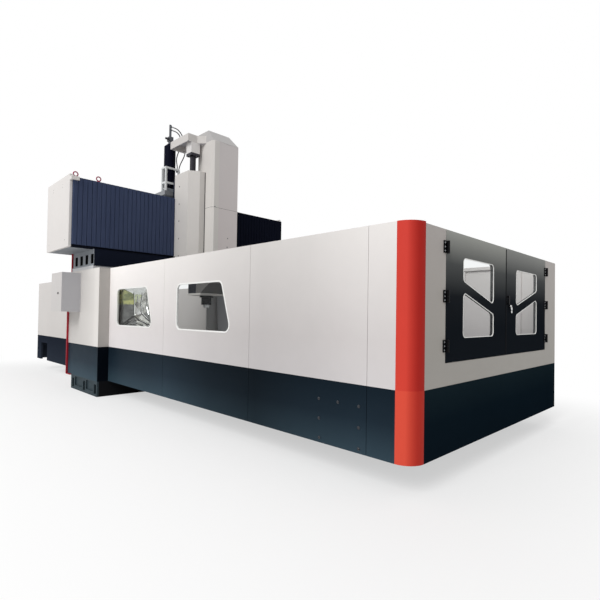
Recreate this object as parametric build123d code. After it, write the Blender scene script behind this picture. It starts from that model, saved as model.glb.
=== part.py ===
from build123d import *
import os

os.makedirs("parts", exist_ok=True)

# A gantry milling machine inside its guard. Millimetres, +Z up.
# +X looks out of the front doors, the guard's long walls face -Y and +Y.
# The origin is on the floor, on the guard's centre plane, halfway along the machine.

# Guard
GUARD_WIDTH = 3620.0
FIRST_PANEL = 1919.0
SECOND_PANEL = 1944.0
THIRD_PANEL = 1599.0
LAST_PANEL = 280.0
REAR_X = -5425.0
SKIRT_BOTTOM = 260.0
SKIRT_TOP = 845.0
WALL_TOP = 2200.0
PANEL = 40.0
SEAM = 4.0
REAR_GUARD_WIDTH = 3300.0
REAR_WALL_TOP = 2140.0
REAR_SLOT = (-5100.0, -4610.0)
REAR_SLOT_TOP = 670.0
TRAY = 12.0

# Windows of the long walls, each with its margins at the sill and its slant
WINDOW_SILL = 1223.0
WINDOW_HEAD = 1826.0
WINDOW_CORNER = 85.0
WINDOW_LIP = 8.0
WINDOW_REBATE = 20.0
WINDOWS = ((312.0, 346.0, 187.0), (356.0, 343.0, 203.0))
GLASS = 8.0

# Corner posts, front doors and the play of everything that turns or slides
POST_RADIUS = 165.0
POST_TOP = 2202.0
LEFT_JAMB = 345.0
RIGHT_JAMB = 426.0
DOOR_SILL = 1045.0
DOOR_TOP = 2188.0
DOOR = 38.0
DOOR_GAP = 5.0
LEFT_DOOR_WIDTH = 1349.0
PANE_CORNER = 42.0
PANE_MARGIN = (335.0, 325.0)
PANE_Z = (1252.0, 1974.0)
PANE_BAR = (1665.0, 1472.0)
PANE_BAR_WIDTH = 102.0
HINGE_HEIGHT = 105.0
HINGE_LOW = 1188.0
HINGE_PITCH = 423.5
HINGES = 3
HINGE_LEAF = 48.0
HINGE_LEAF_THICKNESS = 10.0
HINGE_BARREL = 14.0
HINGE_PIN = 6.0
HINGE_OUT = 20.0
HANDLE_FROM_EDGE = 42.0
HANDLE_Z = (1581.0, 1674.0)
HANDLE_BAR = 9.0
HANDLE_OUT = 26.0
LOCK_FROM_HANDLE = 51.0
LOCK_BELOW_HANDLE = 16.0
LOCK_RADIUS = 13.0
LOCK_OUT = 16.0
FIT = 0.3
CLEARANCE = 5.0
PAST = 1.0

# Columns
COLUMN_FRONT = -482.0
COLUMN_REAR = -1973.0
COLUMN_STAND_OUT = 183.0
COVER_SHEET = 10.0
COVER_ROOM = 25.0
FOOT_REAR = -1770.0
FOOT_WIDTH = 883.0
FOOT_SLOTS = (-1655.0, -1088.0, -566.0)
FOOT_SLOT = 100.0
FOOT_SLOT_Z = (42.0, 203.0)
FOOT_SLOT_DEPTH = 150.0
FOOT_RIB = 190.0
FOOT_RECESS = 25.0
FOOT_RECESS_Z = (75.0, 235.0)
TRUNK_WIDTH = 643.0
TRUNK_FRONT_FOOT = -560.0
HEAD_FRONT = -889.0
HEAD_REAR = -1960.0
HEAD_START = 2276.0
HEAD_DROP = 34.0
HEAD_DROP_X = (-1400.0, -1180.0)
HEAD_OUT = 132.0
POCKETS = 4
POCKET = 140.0
POCKET_FORWARD = 45.0
POCKET_Z = (2303.0, 2477.0)
POCKET_DEPTH = 90.0
BACK_PANEL = 35.0
BACK_PANEL_OUT = 30.0
BACK_PANEL_BOTTOM = 245.0
BACK_PANEL_RETURN = 100.0
BACK_PANEL_TOP_OUT = 20.0

# Junction cabinet on the left column cover
CABINET_X = (-1965.0, -1373.0)
CABINET_OUT = 321.0
CABINET_Z = (1439.0, 2149.0)
CABINET_SHEET = 8.0
CABINET_DOOR = 20.0

# Crossbeam
BEAM_FRONT = -1010.0
BEAM_REAR = -2187.0
BEAM_BOTTOM = 2560.0
BEAM_TOP = 3760.0
BEAM_ENDS = (-2353.0, 2546.0)
BEAM_CAP = 43.0
BEAM_CAP_TOP = 3817.0
CAP_BLOCK_FRONT = -860.0
CAP_BLOCK = (91.0, 64.0)
CAP_BLOCK_TOP = 3772.0
RAIL_LOW = 2760.0
RAIL_PITCH = 800.0
RAIL = (50.0, 80.0)
BELLOWS_FRONT = -900.0
BELLOWS_DEPTH = 45.0
BELLOWS_BOTTOM = 2600.0
BELLOWS_TOP = 3768.0
APRON = 14.0
APRON_BOTTOM = 2262.0
EYE_BAR = 20.0
EYE_INSIDE = 28.0
EYE_COLLAR = (26.0, 66.0)
EYE_SUNK = 8.0
EYE_BACK = 60.0
EYE_FROM_END = (131.0, 524.0)

# Saddle and its two balance cylinder covers
SPINDLE_X = -636.0
SPINDLE_Y = 230.0
SADDLE_FRONT = HEAD_FRONT + APRON + CLEARANCE
SADDLE_Z = (2590.0, 4150.0)
LEFT_COVER = 305.0
RIGHT_COVER = 255.0
COVER_FRONT = -290.0
COVER_Z = (2320.0, 4237.0)
COVER_CHAMFER = (125.0, 187.0)
COVER_LIP = 12.0
COVER_LIP_REAR = -925.0
ROD_X = -505.0
ROD_RADIUS = 58.0
ROD_BORE_FLOOR = 60.0
ROD_INSIDE = 900.0
ROD_SHOW = 326.0
ROD_COLLAR = (80.0, 18.0)
Z_RAIL = (60.0, 30.0)
Z_RAIL_SPREAD = 380.0

# Headstock, which slides on the saddle
TOWER_FRONT = -31.0
TOWER_REAR = -559.0
TOWER_WIDTH = 605.0
TOWER_CHAMFER = 42.0
TOWER_ABOVE_ARM = 88.0
TOWER_ROOF = 225.0
TOWER_RIDGE_X = -203.0
TOWER_HIP = 120.0
TOWER_EDGE = 150.0
TOWER_RECESS = 4.0
TOWER_SEAM = 3520.0
WEDGE_TOP = 2060.0
WEDGE_X = -390.0
HEAD_BOTTOM = 1852.0
BOTTOM_PLATE = 42.0
RAM_TOP = 4150.0
RAM_STEP = 8.0
ARM_FRONT = -410.0
ARM_REAR = -1105.0
ARM_HEIGHT = 149.0
ARM_SHEET = 22.0
ARM_GUSSET = 127.0
ARM_PAD = 205.0
FLANGE = 190.0
FLANGE_THICKNESS = 50.0

# Spindle
FLANGE_RADIUS = 139.0
HOUSING_RADIUS = 104.0
NOSE_RADIUS = 64.0
FLANGE_DEPTH = 36.0
HOUSING_BOTTOM = 1626.0
NOSE_BOTTOM = 1566.0
TAPER_MOUTH = 35.0
TAPER_DEPTH = 100.0
TAPER_RATIO = 7.0 / 24.0

# Accumulator bottle on the saddle's bracket
BOTTLE_X = -1275.0
BOTTLE_Y = -320.0
BOTTLE_RADIUS = 117.0
BOTTLE_Z = (4028.0, 4990.0)
BOTTLE_SHOULDERS = (40.0, 60.0)
BOTTLE_ENDS = (94.0, 53.0)
SHELF_REAR = -1400.0
SHELF_Y = (-560.0, -150.0)
SHELF_Z = (3838.0, 3925.0)
BRACKET_HALF = 122.0
NECK = (40.0, 60.0)
VALVE = (110.0, 90.0, 90.0)
KNOB = (22.0, 62.0)
PIPE = 24.0
PIPE_RUN = 260.0
CAGE_BAR = 36.0
CAGE_X = (-1287.0, -1135.0)
CAGE_Y = (-473.0, -190.0)
CAGE_LEVELS = (4130.0, 4440.0)

# Two hoses from the pipe to a fitting on the cage, each by the points of its route
HOSE = 10.0
HOSE_BEND = 45.0
HOSE_FITTING = (37.0, 71.0, 40.0)
HOSE_FITTING_Y = -182.5
UPPER_HOSE = (
    (-1275.0, -296.0, 5368.0),
    (-1275.0, -235.0, 5368.0),
    (-1225.0, -165.0, 5335.0),
    (-1171.0, -95.0, 5215.0),
    (-1171.0, -25.0, 5030.0),
    (-1171.0, -15.0, 4830.0),
    (-1171.0, -165.0, 4530.0),
    (-1171.0, -165.0, 4440.0),
)
LOWER_HOSE = (
    (-1275.0, -296.0, 5300.0),
    (-1275.0, -235.0, 5300.0),
    (-1225.0, -190.0, 5280.0),
    (-1171.0, -145.0, 5180.0),
    (-1171.0, -130.0, 5000.0),
    (-1171.0, -180.0, 4840.0),
    (-1171.0, -232.0, 4670.0),
    (-1171.0, -200.0, 4530.0),
    (-1171.0, -200.0, 4440.0),
)

# Bed and table
BED_REAR = -5000.0
BED_FROM_FRONT = 475.0
BED_WIDTH = 1700.0
BED_TOP = 700.0
BED_WAIST = 120.0
BED_FOOT = (120.0, 200.0)
BED_HEAD = (60.0, 120.0)
WAY_SPREAD = 1100.0
WAY = (220.0, 60.0)
TABLE_FROM_FRONT = 525.0
TABLE_LENGTH = 4000.0
TABLE_WIDTH = 2000.0
TABLE_TOP = 1035.0
TABLE_THICKNESS = 230.0
T_SLOTS = 7
T_SLOT_PITCH = 250.0
T_SLOT = (28.0, 48.0)
T_SLOT_FOOT = (48.0, 21.0)

HALF_WIDTH = GUARD_WIDTH / 2
COLUMN_OUTER = HALF_WIDTH + COLUMN_STAND_OUT
FOOT_INNER = COLUMN_OUTER - FOOT_WIDTH
TRUNK_INNER = COLUMN_OUTER - TRUNK_WIDTH
DOORWAY = (-HALF_WIDTH + POST_RADIUS + LEFT_JAMB, HALF_WIDTH - RIGHT_JAMB)
DOOR_MEETING = DOORWAY[0] + LEFT_DOOR_WIDTH
POST_X = COLUMN_FRONT + FIRST_PANEL + SECOND_PANEL + THIRD_PANEL + LAST_PANEL
FRONT_X = POST_X + POST_RADIUS
BED_X = (BED_REAR, FRONT_X - BED_FROM_FRONT)
TABLE_FRONT = FRONT_X - TABLE_FROM_FRONT
TABLE_X = (TABLE_FRONT - TABLE_LENGTH, TABLE_FRONT)
BEAM_CAP_FRONT = BELLOWS_FRONT - BELLOWS_DEPTH
RAIL_LEVELS = (RAIL_LOW, RAIL_LOW + RAIL_PITCH)
FLANGE_BOTTOM = COVER_Z[1] + ROD_SHOW
FLANGE_Z = (FLANGE_BOTTOM, FLANGE_BOTTOM + FLANGE_THICKNESS)
ARM_BOTTOM = FLANGE_Z[1] + ARM_PAD
ARM_Z = (ARM_BOTTOM, ARM_BOTTOM + ARM_HEIGHT)
TOWER_RIDGE = ARM_Z[1] + TOWER_ABOVE_ARM
TOWER_FRONT_TOP = TOWER_RIDGE - TOWER_ROOF
PIPE_TOP = BOTTLE_Z[1] + NECK[1] + VALVE[2] + PIPE_RUN


def block(xs, ys, zs):
    size = [high - low for low, high in (sorted(xs), sorted(ys), sorted(zs))]
    middle = [(low + high) / 2 for low, high in (sorted(xs), sorted(ys), sorted(zs))]
    return Pos(*middle) * Box(*size)


def plan(points, zs):
    """A prism standing on an outline seen from above."""
    face = Polygon(*points, align=None)
    return Pos(0, 0, zs[0]) * extrude(face, zs[1] - zs[0], dir=(0, 0, 1))


def side(face, ys):
    """A prism along Y of a face drawn in X and Z."""
    return extrude(Plane.XZ.offset(-ys[0]) * face, ys[1] - ys[0], dir=(0, 1, 0))


def across(face, xs):
    """A prism along X of a face drawn in Y and Z."""
    return extrude(Plane.YZ.offset(xs[0]) * face, xs[1] - xs[0], dir=(1, 0, 0))


def upright(x, y, radius, zs):
    return Pos(x, y, (zs[0] + zs[1]) / 2) * Cylinder(radius, zs[1] - zs[0])


def other_side(shape):
    return mirror(shape, about=Plane.XZ)


def rounded(points, radius):
    face = Polygon(*points, align=None)
    return fillet(face.vertices(), radius)


# Guard


def window_outline(window, panel):
    left_margin, right_margin, slant = window
    left = panel[0] + left_margin
    right_sill = panel[1] - right_margin
    right_head = right_sill - slant
    corners = (
        (left, WINDOW_SILL),
        (right_sill, WINDOW_SILL),
        (right_head, WINDOW_HEAD),
        (left, WINDOW_HEAD),
    )
    return rounded(corners, WINDOW_CORNER)


def guard_walls():
    """The -Y wall: its four upper panels, its skirt and its two panes."""
    outer, inner = -HALF_WIDTH, -HALF_WIDTH + PANEL
    spans = []
    panels = []
    skirt = []
    low = COLUMN_FRONT
    for width in (FIRST_PANEL, SECOND_PANEL, THIRD_PANEL, LAST_PANEL):
        high = low + width
        xs = (low + SEAM * (low > COLUMN_FRONT), high)
        spans.append((low, high))
        panels.append(block(xs, (outer, inner), (SKIRT_TOP, WALL_TOP)))
        skirt.append(block(xs, (outer, inner), (SKIRT_BOTTOM, SKIRT_TOP)))
        low = high
    panes = []
    for number, window in enumerate(WINDOWS):
        outline = window_outline(window, spans[number])
        rebate = offset(outline, amount=WINDOW_REBATE)
        seat = outer + WINDOW_LIP
        panels[number] -= side(outline, (outer - PAST, inner + PAST))
        panels[number] -= side(rebate, (seat, inner + PAST))
        panes.append(side(rebate, (seat, seat + GLASS)))
    return Compound(panels), Compound(skirt), Compound(panes)


def rear_guard(zs):
    """The two side walls behind the columns and the wall that joins them."""
    half = REAR_GUARD_WIDTH / 2
    front = COLUMN_REAR - BACK_PANEL
    shell = block((REAR_X, front), (-half, half), zs)
    room = block((REAR_X + PANEL, front + PAST), (-half + PANEL, half - PANEL),
                 (zs[0] - PAST, zs[1] + PAST))
    return shell - room


def rear_skirt():
    half = REAR_GUARD_WIDTH / 2
    slot = block(REAR_SLOT, (-half - PAST, half + PAST), (SKIRT_BOTTOM - PAST, REAR_SLOT_TOP))
    return rear_guard((SKIRT_BOTTOM, SKIRT_TOP)) - slot


def corner_post(zs):
    """A quarter-round post at the front corner of the -Y wall."""
    centre = (POST_X, -HALF_WIDTH + POST_RADIUS)
    inside = POST_RADIUS - PANEL
    quarter = block(
        (centre[0], FRONT_X + PAST), (-HALF_WIDTH - PAST, centre[1]), zs
    )
    ring = upright(*centre, POST_RADIUS, zs) - upright(*centre, inside, zs)
    return ring & quarter


def end_wall():
    """The sill and the two jambs around the front doors."""
    near = -HALF_WIDTH + POST_RADIUS
    xs = (FRONT_X - PANEL, FRONT_X)
    sill_top = DOOR_SILL - DOOR_GAP
    left = block(xs, (near, DOORWAY[0] - DOOR_GAP), (SKIRT_TOP, DOOR_TOP))
    right = block(xs, (DOORWAY[1] + DOOR_GAP, HALF_WIDTH), (SKIRT_TOP, DOOR_TOP))
    sill_ys = (DOORWAY[0] - DOOR_GAP, DOORWAY[1] + DOOR_GAP)
    sill = block(xs, sill_ys, (SKIRT_TOP, sill_top))
    skirt = block(xs, (near, HALF_WIDTH), (SKIRT_BOTTOM, SKIRT_TOP))
    return left, right, sill, skirt


def pane_outlines():
    """The two pane outlines of the -Y door, in Y and Z."""
    outer = DOORWAY[0] + PANE_MARGIN[0]
    inner = DOOR_MEETING - PANE_MARGIN[1]
    bar_outer, bar_inner = PANE_BAR
    upper = (
        (outer, bar_outer + PANE_BAR_WIDTH),
        (inner, bar_inner + PANE_BAR_WIDTH),
        (inner, PANE_Z[1]),
        (outer, PANE_Z[1]),
    )
    lower = (
        (outer, PANE_Z[0]),
        (inner, PANE_Z[0]),
        (inner, bar_inner),
        (outer, bar_outer),
    )
    return upper, lower


def door(hinge_y, meeting_y, panes):
    """One front door with its panes cut, and its glass."""
    ys = (hinge_y, meeting_y)
    xs = (FRONT_X - DOOR, FRONT_X)
    leaf = block(xs, ys, (DOOR_SILL, DOOR_TOP))
    glass = []
    seat = FRONT_X - WINDOW_LIP
    for points in panes:
        outline = rounded(points, PANE_CORNER)
        rebate = offset(outline, amount=WINDOW_REBATE / 2)
        leaf -= across(outline, (xs[0] - PAST, xs[1] + PAST))
        leaf -= across(rebate, (xs[0] - PAST, seat))
        glass.append(across(rebate, (seat - GLASS, seat)))
    return leaf, Compound(glass)


def hinge_set(axis_y, inward):
    """Three fixed leaves and three moving leaves; inward is the door's side in Y."""
    fixed = []
    moving = []
    axis_x = FRONT_X + HINGE_OUT
    for number in range(HINGES):
        level = HINGE_LOW + HINGE_PITCH * number
        low = level - HINGE_HEIGHT / 2
        high = level + HINGE_HEIGHT / 2
        face = (FRONT_X, FRONT_X + HINGE_LEAF_THICKNESS)
        web = (FRONT_X, axis_x)
        near = HINGE_BARREL + FIT
        for shapes, sign, zs in (
            (fixed, -inward, (low, level - FIT)),
            (moving, inward, (level + FIT, high)),
        ):
            barrel = upright(axis_x, axis_y, HINGE_BARREL, zs)
            leaf = block(face, (axis_y + sign * near, axis_y + sign * HINGE_LEAF), (low, high))
            neck = block(face, (axis_y, axis_y + sign * HINGE_LEAF), zs)
            shapes.append(barrel + leaf + neck)
        pin_zs = (low, high)
        pin = upright(axis_x, axis_y, HINGE_PIN, pin_zs)
        fixed[-1] += pin
        moving[-1] -= upright(axis_x, axis_y, HINGE_PIN + FIT, (low - PAST, high + PAST))
    return fixed, moving


def door_handle():
    """A bow handle on the right door, beside its lock."""
    y = DOOR_MEETING + DOOR_GAP / 2 + HANDLE_FROM_EDGE
    low, high = HANDLE_Z
    grip_x = FRONT_X + HANDLE_OUT
    grip = block((grip_x - HANDLE_BAR, grip_x), (y - HANDLE_BAR, y + HANDLE_BAR), (low, high))
    for z in (low + HANDLE_BAR, high - HANDLE_BAR):
        grip += block((FRONT_X, grip_x), (y - HANDLE_BAR, y + HANDLE_BAR),
                      (z - HANDLE_BAR, z + HANDLE_BAR))
    lock = Rot(0, 90, 0) * Cylinder(LOCK_RADIUS, LOCK_OUT)
    lock = Pos(FRONT_X + LOCK_OUT / 2, y + LOCK_FROM_HANDLE, low - LOCK_BELOW_HANDLE) * lock
    return Compound([grip, lock])


# Columns


def column():
    """The -Y column casting: foot, trunk and pocketed head."""
    outer = -COLUMN_OUTER
    foot = block((FOOT_REAR, COLUMN_FRONT), (outer, -FOOT_INNER), (0, SKIRT_BOTTOM))
    for x in FOOT_SLOTS:
        foot -= block((x - FOOT_SLOT / 2, x + FOOT_SLOT / 2),
                      (outer - PAST, outer + FOOT_SLOT_DEPTH), FOOT_SLOT_Z)
    for first, second in zip(FOOT_SLOTS, FOOT_SLOTS[1:]):
        foot -= block((first + FOOT_RIB / 2, second - FOOT_RIB / 2),
                      (outer - PAST, outer + FOOT_RECESS), FOOT_RECESS_Z)
    outline = Polygon(
        (TRUNK_FRONT_FOOT, SKIRT_BOTTOM),
        (HEAD_FRONT, APRON_BOTTOM),
        (HEAD_FRONT, BEAM_BOTTOM),
        (HEAD_REAR, BEAM_BOTTOM),
        (HEAD_REAR, APRON_BOTTOM),
        (FOOT_REAR, SKIRT_BOTTOM),
        align=None,
    )
    trunk_outer = outer + COVER_SHEET + COVER_ROOM
    trunk = side(outline, (trunk_outer, -TRUNK_INNER))
    head_outer = -(HALF_WIDTH + HEAD_OUT)
    head_outline = Polygon(
        (HEAD_REAR, HEAD_START - HEAD_DROP),
        (HEAD_DROP_X[0], HEAD_START - HEAD_DROP),
        (HEAD_DROP_X[1], HEAD_START),
        (HEAD_FRONT, HEAD_START),
        (HEAD_FRONT, BEAM_BOTTOM),
        (HEAD_REAR, BEAM_BOTTOM),
        align=None,
    )
    head = side(head_outline, (head_outer, -TRUNK_INNER))
    step = (HEAD_FRONT - HEAD_REAR) / POCKETS
    for n in range(POCKETS):
        x = HEAD_REAR + step * (n + 0.5) + POCKET_FORWARD
        head -= block((x - POCKET / 2, x + POCKET / 2),
                      (head_outer - PAST, head_outer + POCKET_DEPTH), POCKET_Z)
    trunk -= block((HEAD_REAR - PAST, HEAD_FRONT + PAST), (trunk_outer - PAST, head_outer + POCKET_DEPTH),
                   (HEAD_START, BEAM_BOTTOM + PAST))
    return foot + trunk + head


def column_cover(zs):
    """A sheet cover, open towards the machine, around the column's outer part."""
    outer = -COLUMN_OUTER
    inner = -HALF_WIDTH + PANEL
    shell = block((COLUMN_REAR, COLUMN_FRONT), (outer, inner), zs)
    room = block((COLUMN_REAR + COVER_SHEET, COLUMN_FRONT - COVER_SHEET),
                 (outer + COVER_SHEET, inner + PAST), (zs[0] - PAST, zs[1] + PAST))
    return shell - room


def back_panel():
    """The red panel behind the -Y column: narrower above the covers, with a foot return."""
    xs = (COLUMN_REAR - BACK_PANEL, COLUMN_REAR)
    outer = -COLUMN_OUTER - BACK_PANEL_OUT
    top_outer = -(HALF_WIDTH + HEAD_OUT) - BACK_PANEL_TOP_OUT
    panel = block(xs, (outer, -FOOT_INNER), (BACK_PANEL_BOTTOM, WALL_TOP))
    panel += block(xs, (top_outer, -FOOT_INNER), (WALL_TOP, BEAM_BOTTOM))
    foot = block((COLUMN_REAR, FOOT_REAR), (outer, outer + BACK_PANEL_RETURN),
                 (BACK_PANEL_BOTTOM, SKIRT_BOTTOM))
    return panel + foot


def cabinet():
    outer = -COLUMN_OUTER - CABINET_OUT
    back = -COLUMN_OUTER
    front = outer + CABINET_DOOR + FIT
    body = block(CABINET_X, (front, back), CABINET_Z)
    body -= block(
        (CABINET_X[0] + CABINET_SHEET, CABINET_X[1] - CABINET_SHEET),
        (front - PAST, back - CABINET_SHEET),
        (CABINET_Z[0] + CABINET_SHEET, CABINET_Z[1] - CABINET_SHEET),
    )
    lid = block(CABINET_X, (outer, outer + CABINET_DOOR), CABINET_Z)
    return body, lid


# Crossbeam


def crossbeam():
    ys = (BEAM_ENDS[0] + BEAM_CAP, BEAM_ENDS[1] - BEAM_CAP)
    return block((BEAM_REAR, BEAM_FRONT), ys, (BEAM_BOTTOM, BEAM_TOP))


def beam_rails():
    rails = []
    ys = (BEAM_ENDS[0] + BEAM_CAP, BEAM_ENDS[1] - BEAM_CAP)
    for level in RAIL_LEVELS:
        zs = (level - RAIL[1] / 2, level + RAIL[1] / 2)
        rails.append(block((BEAM_FRONT, BEAM_FRONT + RAIL[0]), ys, zs))
    return Compound(rails)


def beam_caps():
    """The beam's light end covers; the -Y one has a block that holds the bellows' top rail."""
    zs = (BEAM_BOTTOM, BEAM_CAP_TOP)
    left, right = BEAM_ENDS
    inner = left + BEAM_CAP
    cap = block((BEAM_REAR, BEAM_CAP_FRONT), (left, inner), zs)
    block_zs = (CAP_BLOCK_TOP - CAP_BLOCK[1], CAP_BLOCK_TOP)
    cap += block((BEAM_CAP_FRONT, CAP_BLOCK_FRONT), (left, inner), block_zs)
    cap += block((BELLOWS_FRONT + CLEARANCE, CAP_BLOCK_FRONT),
                 (left, inner + CAP_BLOCK[0]), block_zs)
    return Compound([cap, block((BEAM_REAR, BEAM_CAP_FRONT), (right - BEAM_CAP, right), zs)])


def lifting_eye(x, y):
    radius, height = EYE_COLLAR
    collar = upright(x, y, radius, (BEAM_TOP, BEAM_TOP + height))
    middle = BEAM_TOP + height + EYE_INSIDE + EYE_BAR - EYE_SUNK
    ring = Torus(EYE_INSIDE + EYE_BAR / 2, EYE_BAR / 2)
    return collar + Pos(x, y, middle) * Rot(0, 90, 0) * ring


def bellows(ys):
    xs = (BELLOWS_FRONT - BELLOWS_DEPTH, BELLOWS_FRONT)
    return block(xs, ys, (BELLOWS_BOTTOM, BELLOWS_TOP))


def apron():
    head_outer = HALF_WIDTH + HEAD_OUT
    return block((HEAD_FRONT, HEAD_FRONT + APRON), (-head_outer, head_outer),
                 (APRON_BOTTOM, BEAM_BOTTOM))


# Saddle


COVER_NEAR = TOWER_WIDTH / 2 + CLEARANCE


def cover_width(hand):
    """The width of a balance cylinder's cover; hand is -1 for the -Y side."""
    return LEFT_COVER if hand < 0 else RIGHT_COVER


def cover_side(hand):
    return SPINDLE_Y + hand * (COVER_NEAR + cover_width(hand))


def rod_place(hand):
    return SPINDLE_Y + hand * (COVER_NEAR + cover_width(hand) / 2)


def z_rail_places():
    return (SPINDLE_Y - Z_RAIL_SPREAD / 2, SPINDLE_Y + Z_RAIL_SPREAD / 2)


def saddle():
    rear = BEAM_FRONT + CLEARANCE
    ys = (cover_side(-1) + COVER_LIP, cover_side(1) - COVER_LIP)
    plate = block((rear, SADDLE_FRONT), ys, SADDLE_Z)
    for level in RAIL_LEVELS:
        zs = (level - RAIL[1] / 2 - FIT, level + RAIL[1] / 2 + FIT)
        plate -= block((rear - PAST, BEAM_FRONT + RAIL[0] + FIT), (ys[0] - PAST, ys[1] + PAST), zs)
    for y in z_rail_places():
        plate += block((SADDLE_FRONT, SADDLE_FRONT + Z_RAIL[1]),
                       (y - Z_RAIL[0] / 2, y + Z_RAIL[0] / 2), SADDLE_Z)
    shelf = block((SHELF_REAR, rear), SHELF_Y, SHELF_Z)
    return plate + shelf


def saddle_cover(hand):
    """The housing of one balance cylinder, with the collar round its rod."""
    near = SPINDLE_Y + hand * COVER_NEAR
    far = cover_side(hand)
    outline = (
        (SADDLE_FRONT, near),
        (COVER_FRONT, near),
        (COVER_FRONT, far - hand * COVER_CHAMFER[1]),
        (COVER_FRONT - COVER_CHAMFER[0], far),
        (SADDLE_FRONT, far),
    )
    housing = plan(outline, COVER_Z)
    housing += block((COVER_LIP_REAR, SADDLE_FRONT), (far - hand * COVER_LIP, far),
                     (SADDLE_Z[0], COVER_Z[1]))
    rod_y = rod_place(hand)
    collar_top = COVER_Z[1] + ROD_COLLAR[1]
    housing += upright(ROD_X, rod_y, ROD_COLLAR[0], (COVER_Z[1], collar_top))
    bore_zs = (COVER_Z[0] + ROD_BORE_FLOOR, collar_top + PAST)
    return housing - upright(ROD_X, rod_y, ROD_RADIUS + FIT, bore_zs)


# Headstock


def tower(zs_top):
    """The light sheet cover of the headstock, with its slanted roof and wedge foot."""
    outline = Polygon(
        (TOWER_FRONT, WEDGE_TOP),
        (TOWER_FRONT, TOWER_FRONT_TOP),
        (TOWER_RIDGE_X, TOWER_RIDGE),
        (TOWER_REAR, TOWER_RIDGE),
        (TOWER_REAR, HEAD_BOTTOM),
        (WEDGE_X, HEAD_BOTTOM),
        align=None,
    )
    half = TOWER_WIDTH / 2
    body = side(outline, (SPINDLE_Y - half, SPINDLE_Y + half))
    near = SPINDLE_Y - half
    far = SPINDLE_Y + half
    corner = (
        (TOWER_FRONT + PAST, near + TOWER_CHAMFER + PAST),
        (TOWER_FRONT + PAST, near - PAST),
        (TOWER_FRONT - TOWER_CHAMFER - PAST, near - PAST),
    )
    body -= plan(corner, (HEAD_BOTTOM - PAST, TOWER_RIDGE + PAST))
    body -= block((TOWER_FRONT - TOWER_RECESS, TOWER_FRONT + PAST),
                  (near + TOWER_EDGE, far + PAST), (HEAD_BOTTOM, TOWER_FRONT_TOP))
    hip = Polygon(
        (far - TOWER_HIP, TOWER_RIDGE),
        (far, TOWER_FRONT_TOP),
        (far + PAST, TOWER_FRONT_TOP),
        (far + PAST, TOWER_RIDGE + PAST),
        (far - TOWER_HIP, TOWER_RIDGE + PAST),
        align=None,
    )
    body -= across(hip, (TOWER_REAR - PAST, TOWER_FRONT + PAST))
    low, high = zs_top
    keep = block((TOWER_REAR - PAST, TOWER_FRONT + PAST),
                 (near - PAST, far + PAST), (low, high))
    return body & keep


def ram():
    half = TOWER_WIDTH / 2 - RAM_STEP
    rear = SADDLE_FRONT + CLEARANCE
    body = block((rear, TOWER_REAR), (SPINDLE_Y - half, SPINDLE_Y + half),
                 (HEAD_BOTTOM, RAM_TOP))
    for y in z_rail_places():
        body -= block((rear - PAST, SADDLE_FRONT + Z_RAIL[1] + FIT),
                      (y - Z_RAIL[0] / 2 - FIT, y + Z_RAIL[0] / 2 + FIT),
                      (HEAD_BOTTOM - PAST, RAM_TOP + PAST))
    return body


def bottom_plate():
    half = TOWER_WIDTH / 2
    rear = SADDLE_FRONT + CLEARANCE
    return block((rear, WEDGE_X), (SPINDLE_Y - half, SPINDLE_Y + half),
                 (HEAD_BOTTOM - BOTTOM_PLATE, HEAD_BOTTOM))


def arm(hand):
    """An inverted channel on the tower's side, over one balance cylinder."""
    near = SPINDLE_Y + hand * TOWER_WIDTH / 2
    far = near + hand * (cover_width(hand) + ARM_SHEET)
    outline = (
        (ARM_REAR, near),
        (ARM_FRONT + ARM_GUSSET, near),
        (ARM_FRONT, near + hand * ARM_GUSSET),
        (ARM_FRONT, far),
        (ARM_REAR, far),
    )
    housing = plan(outline, ARM_Z)
    room = block((ARM_REAR + ARM_SHEET, ARM_FRONT - ARM_SHEET),
                 (near + hand * ARM_SHEET, far - hand * ARM_SHEET),
                 (ARM_Z[0] - PAST, ARM_Z[1] - ARM_SHEET))
    rod_y = rod_place(hand)
    pad = block((ROD_X - FLANGE / 2, ROD_X + FLANGE / 2),
                (rod_y - FLANGE / 2, rod_y + FLANGE / 2),
                (FLANGE_Z[1], ARM_Z[1] - ARM_SHEET / 2))
    return housing - room + pad


def balance_rod(hand):
    rod_y = rod_place(hand)
    rod = upright(ROD_X, rod_y, ROD_RADIUS, (COVER_Z[1] - ROD_INSIDE, FLANGE_Z[1]))
    plate = block((ROD_X - FLANGE / 2, ROD_X + FLANGE / 2),
                  (rod_y - FLANGE / 2, rod_y + FLANGE / 2), FLANGE_Z)
    return rod + plate


def spindle_housing():
    top = HEAD_BOTTOM - BOTTOM_PLATE
    flange = upright(SPINDLE_X, SPINDLE_Y, FLANGE_RADIUS, (top - FLANGE_DEPTH, top))
    barrel = upright(SPINDLE_X, SPINDLE_Y, HOUSING_RADIUS, (HOUSING_BOTTOM, top))
    bore = upright(SPINDLE_X, SPINDLE_Y, NOSE_RADIUS + FIT, (HOUSING_BOTTOM - PAST, top + PAST))
    return flange + barrel - bore


def spindle_nose():
    top = HEAD_BOTTOM - BOTTOM_PLATE - FIT
    shaft = upright(SPINDLE_X, SPINDLE_Y, NOSE_RADIUS, (NOSE_BOTTOM, top))
    mouth = TAPER_MOUTH
    root = mouth - TAPER_DEPTH * TAPER_RATIO / 2
    taper = Pos(SPINDLE_X, SPINDLE_Y, NOSE_BOTTOM + TAPER_DEPTH / 2) * Cone(
        mouth, root, TAPER_DEPTH)
    return shaft - taper


# Accumulator


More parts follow.
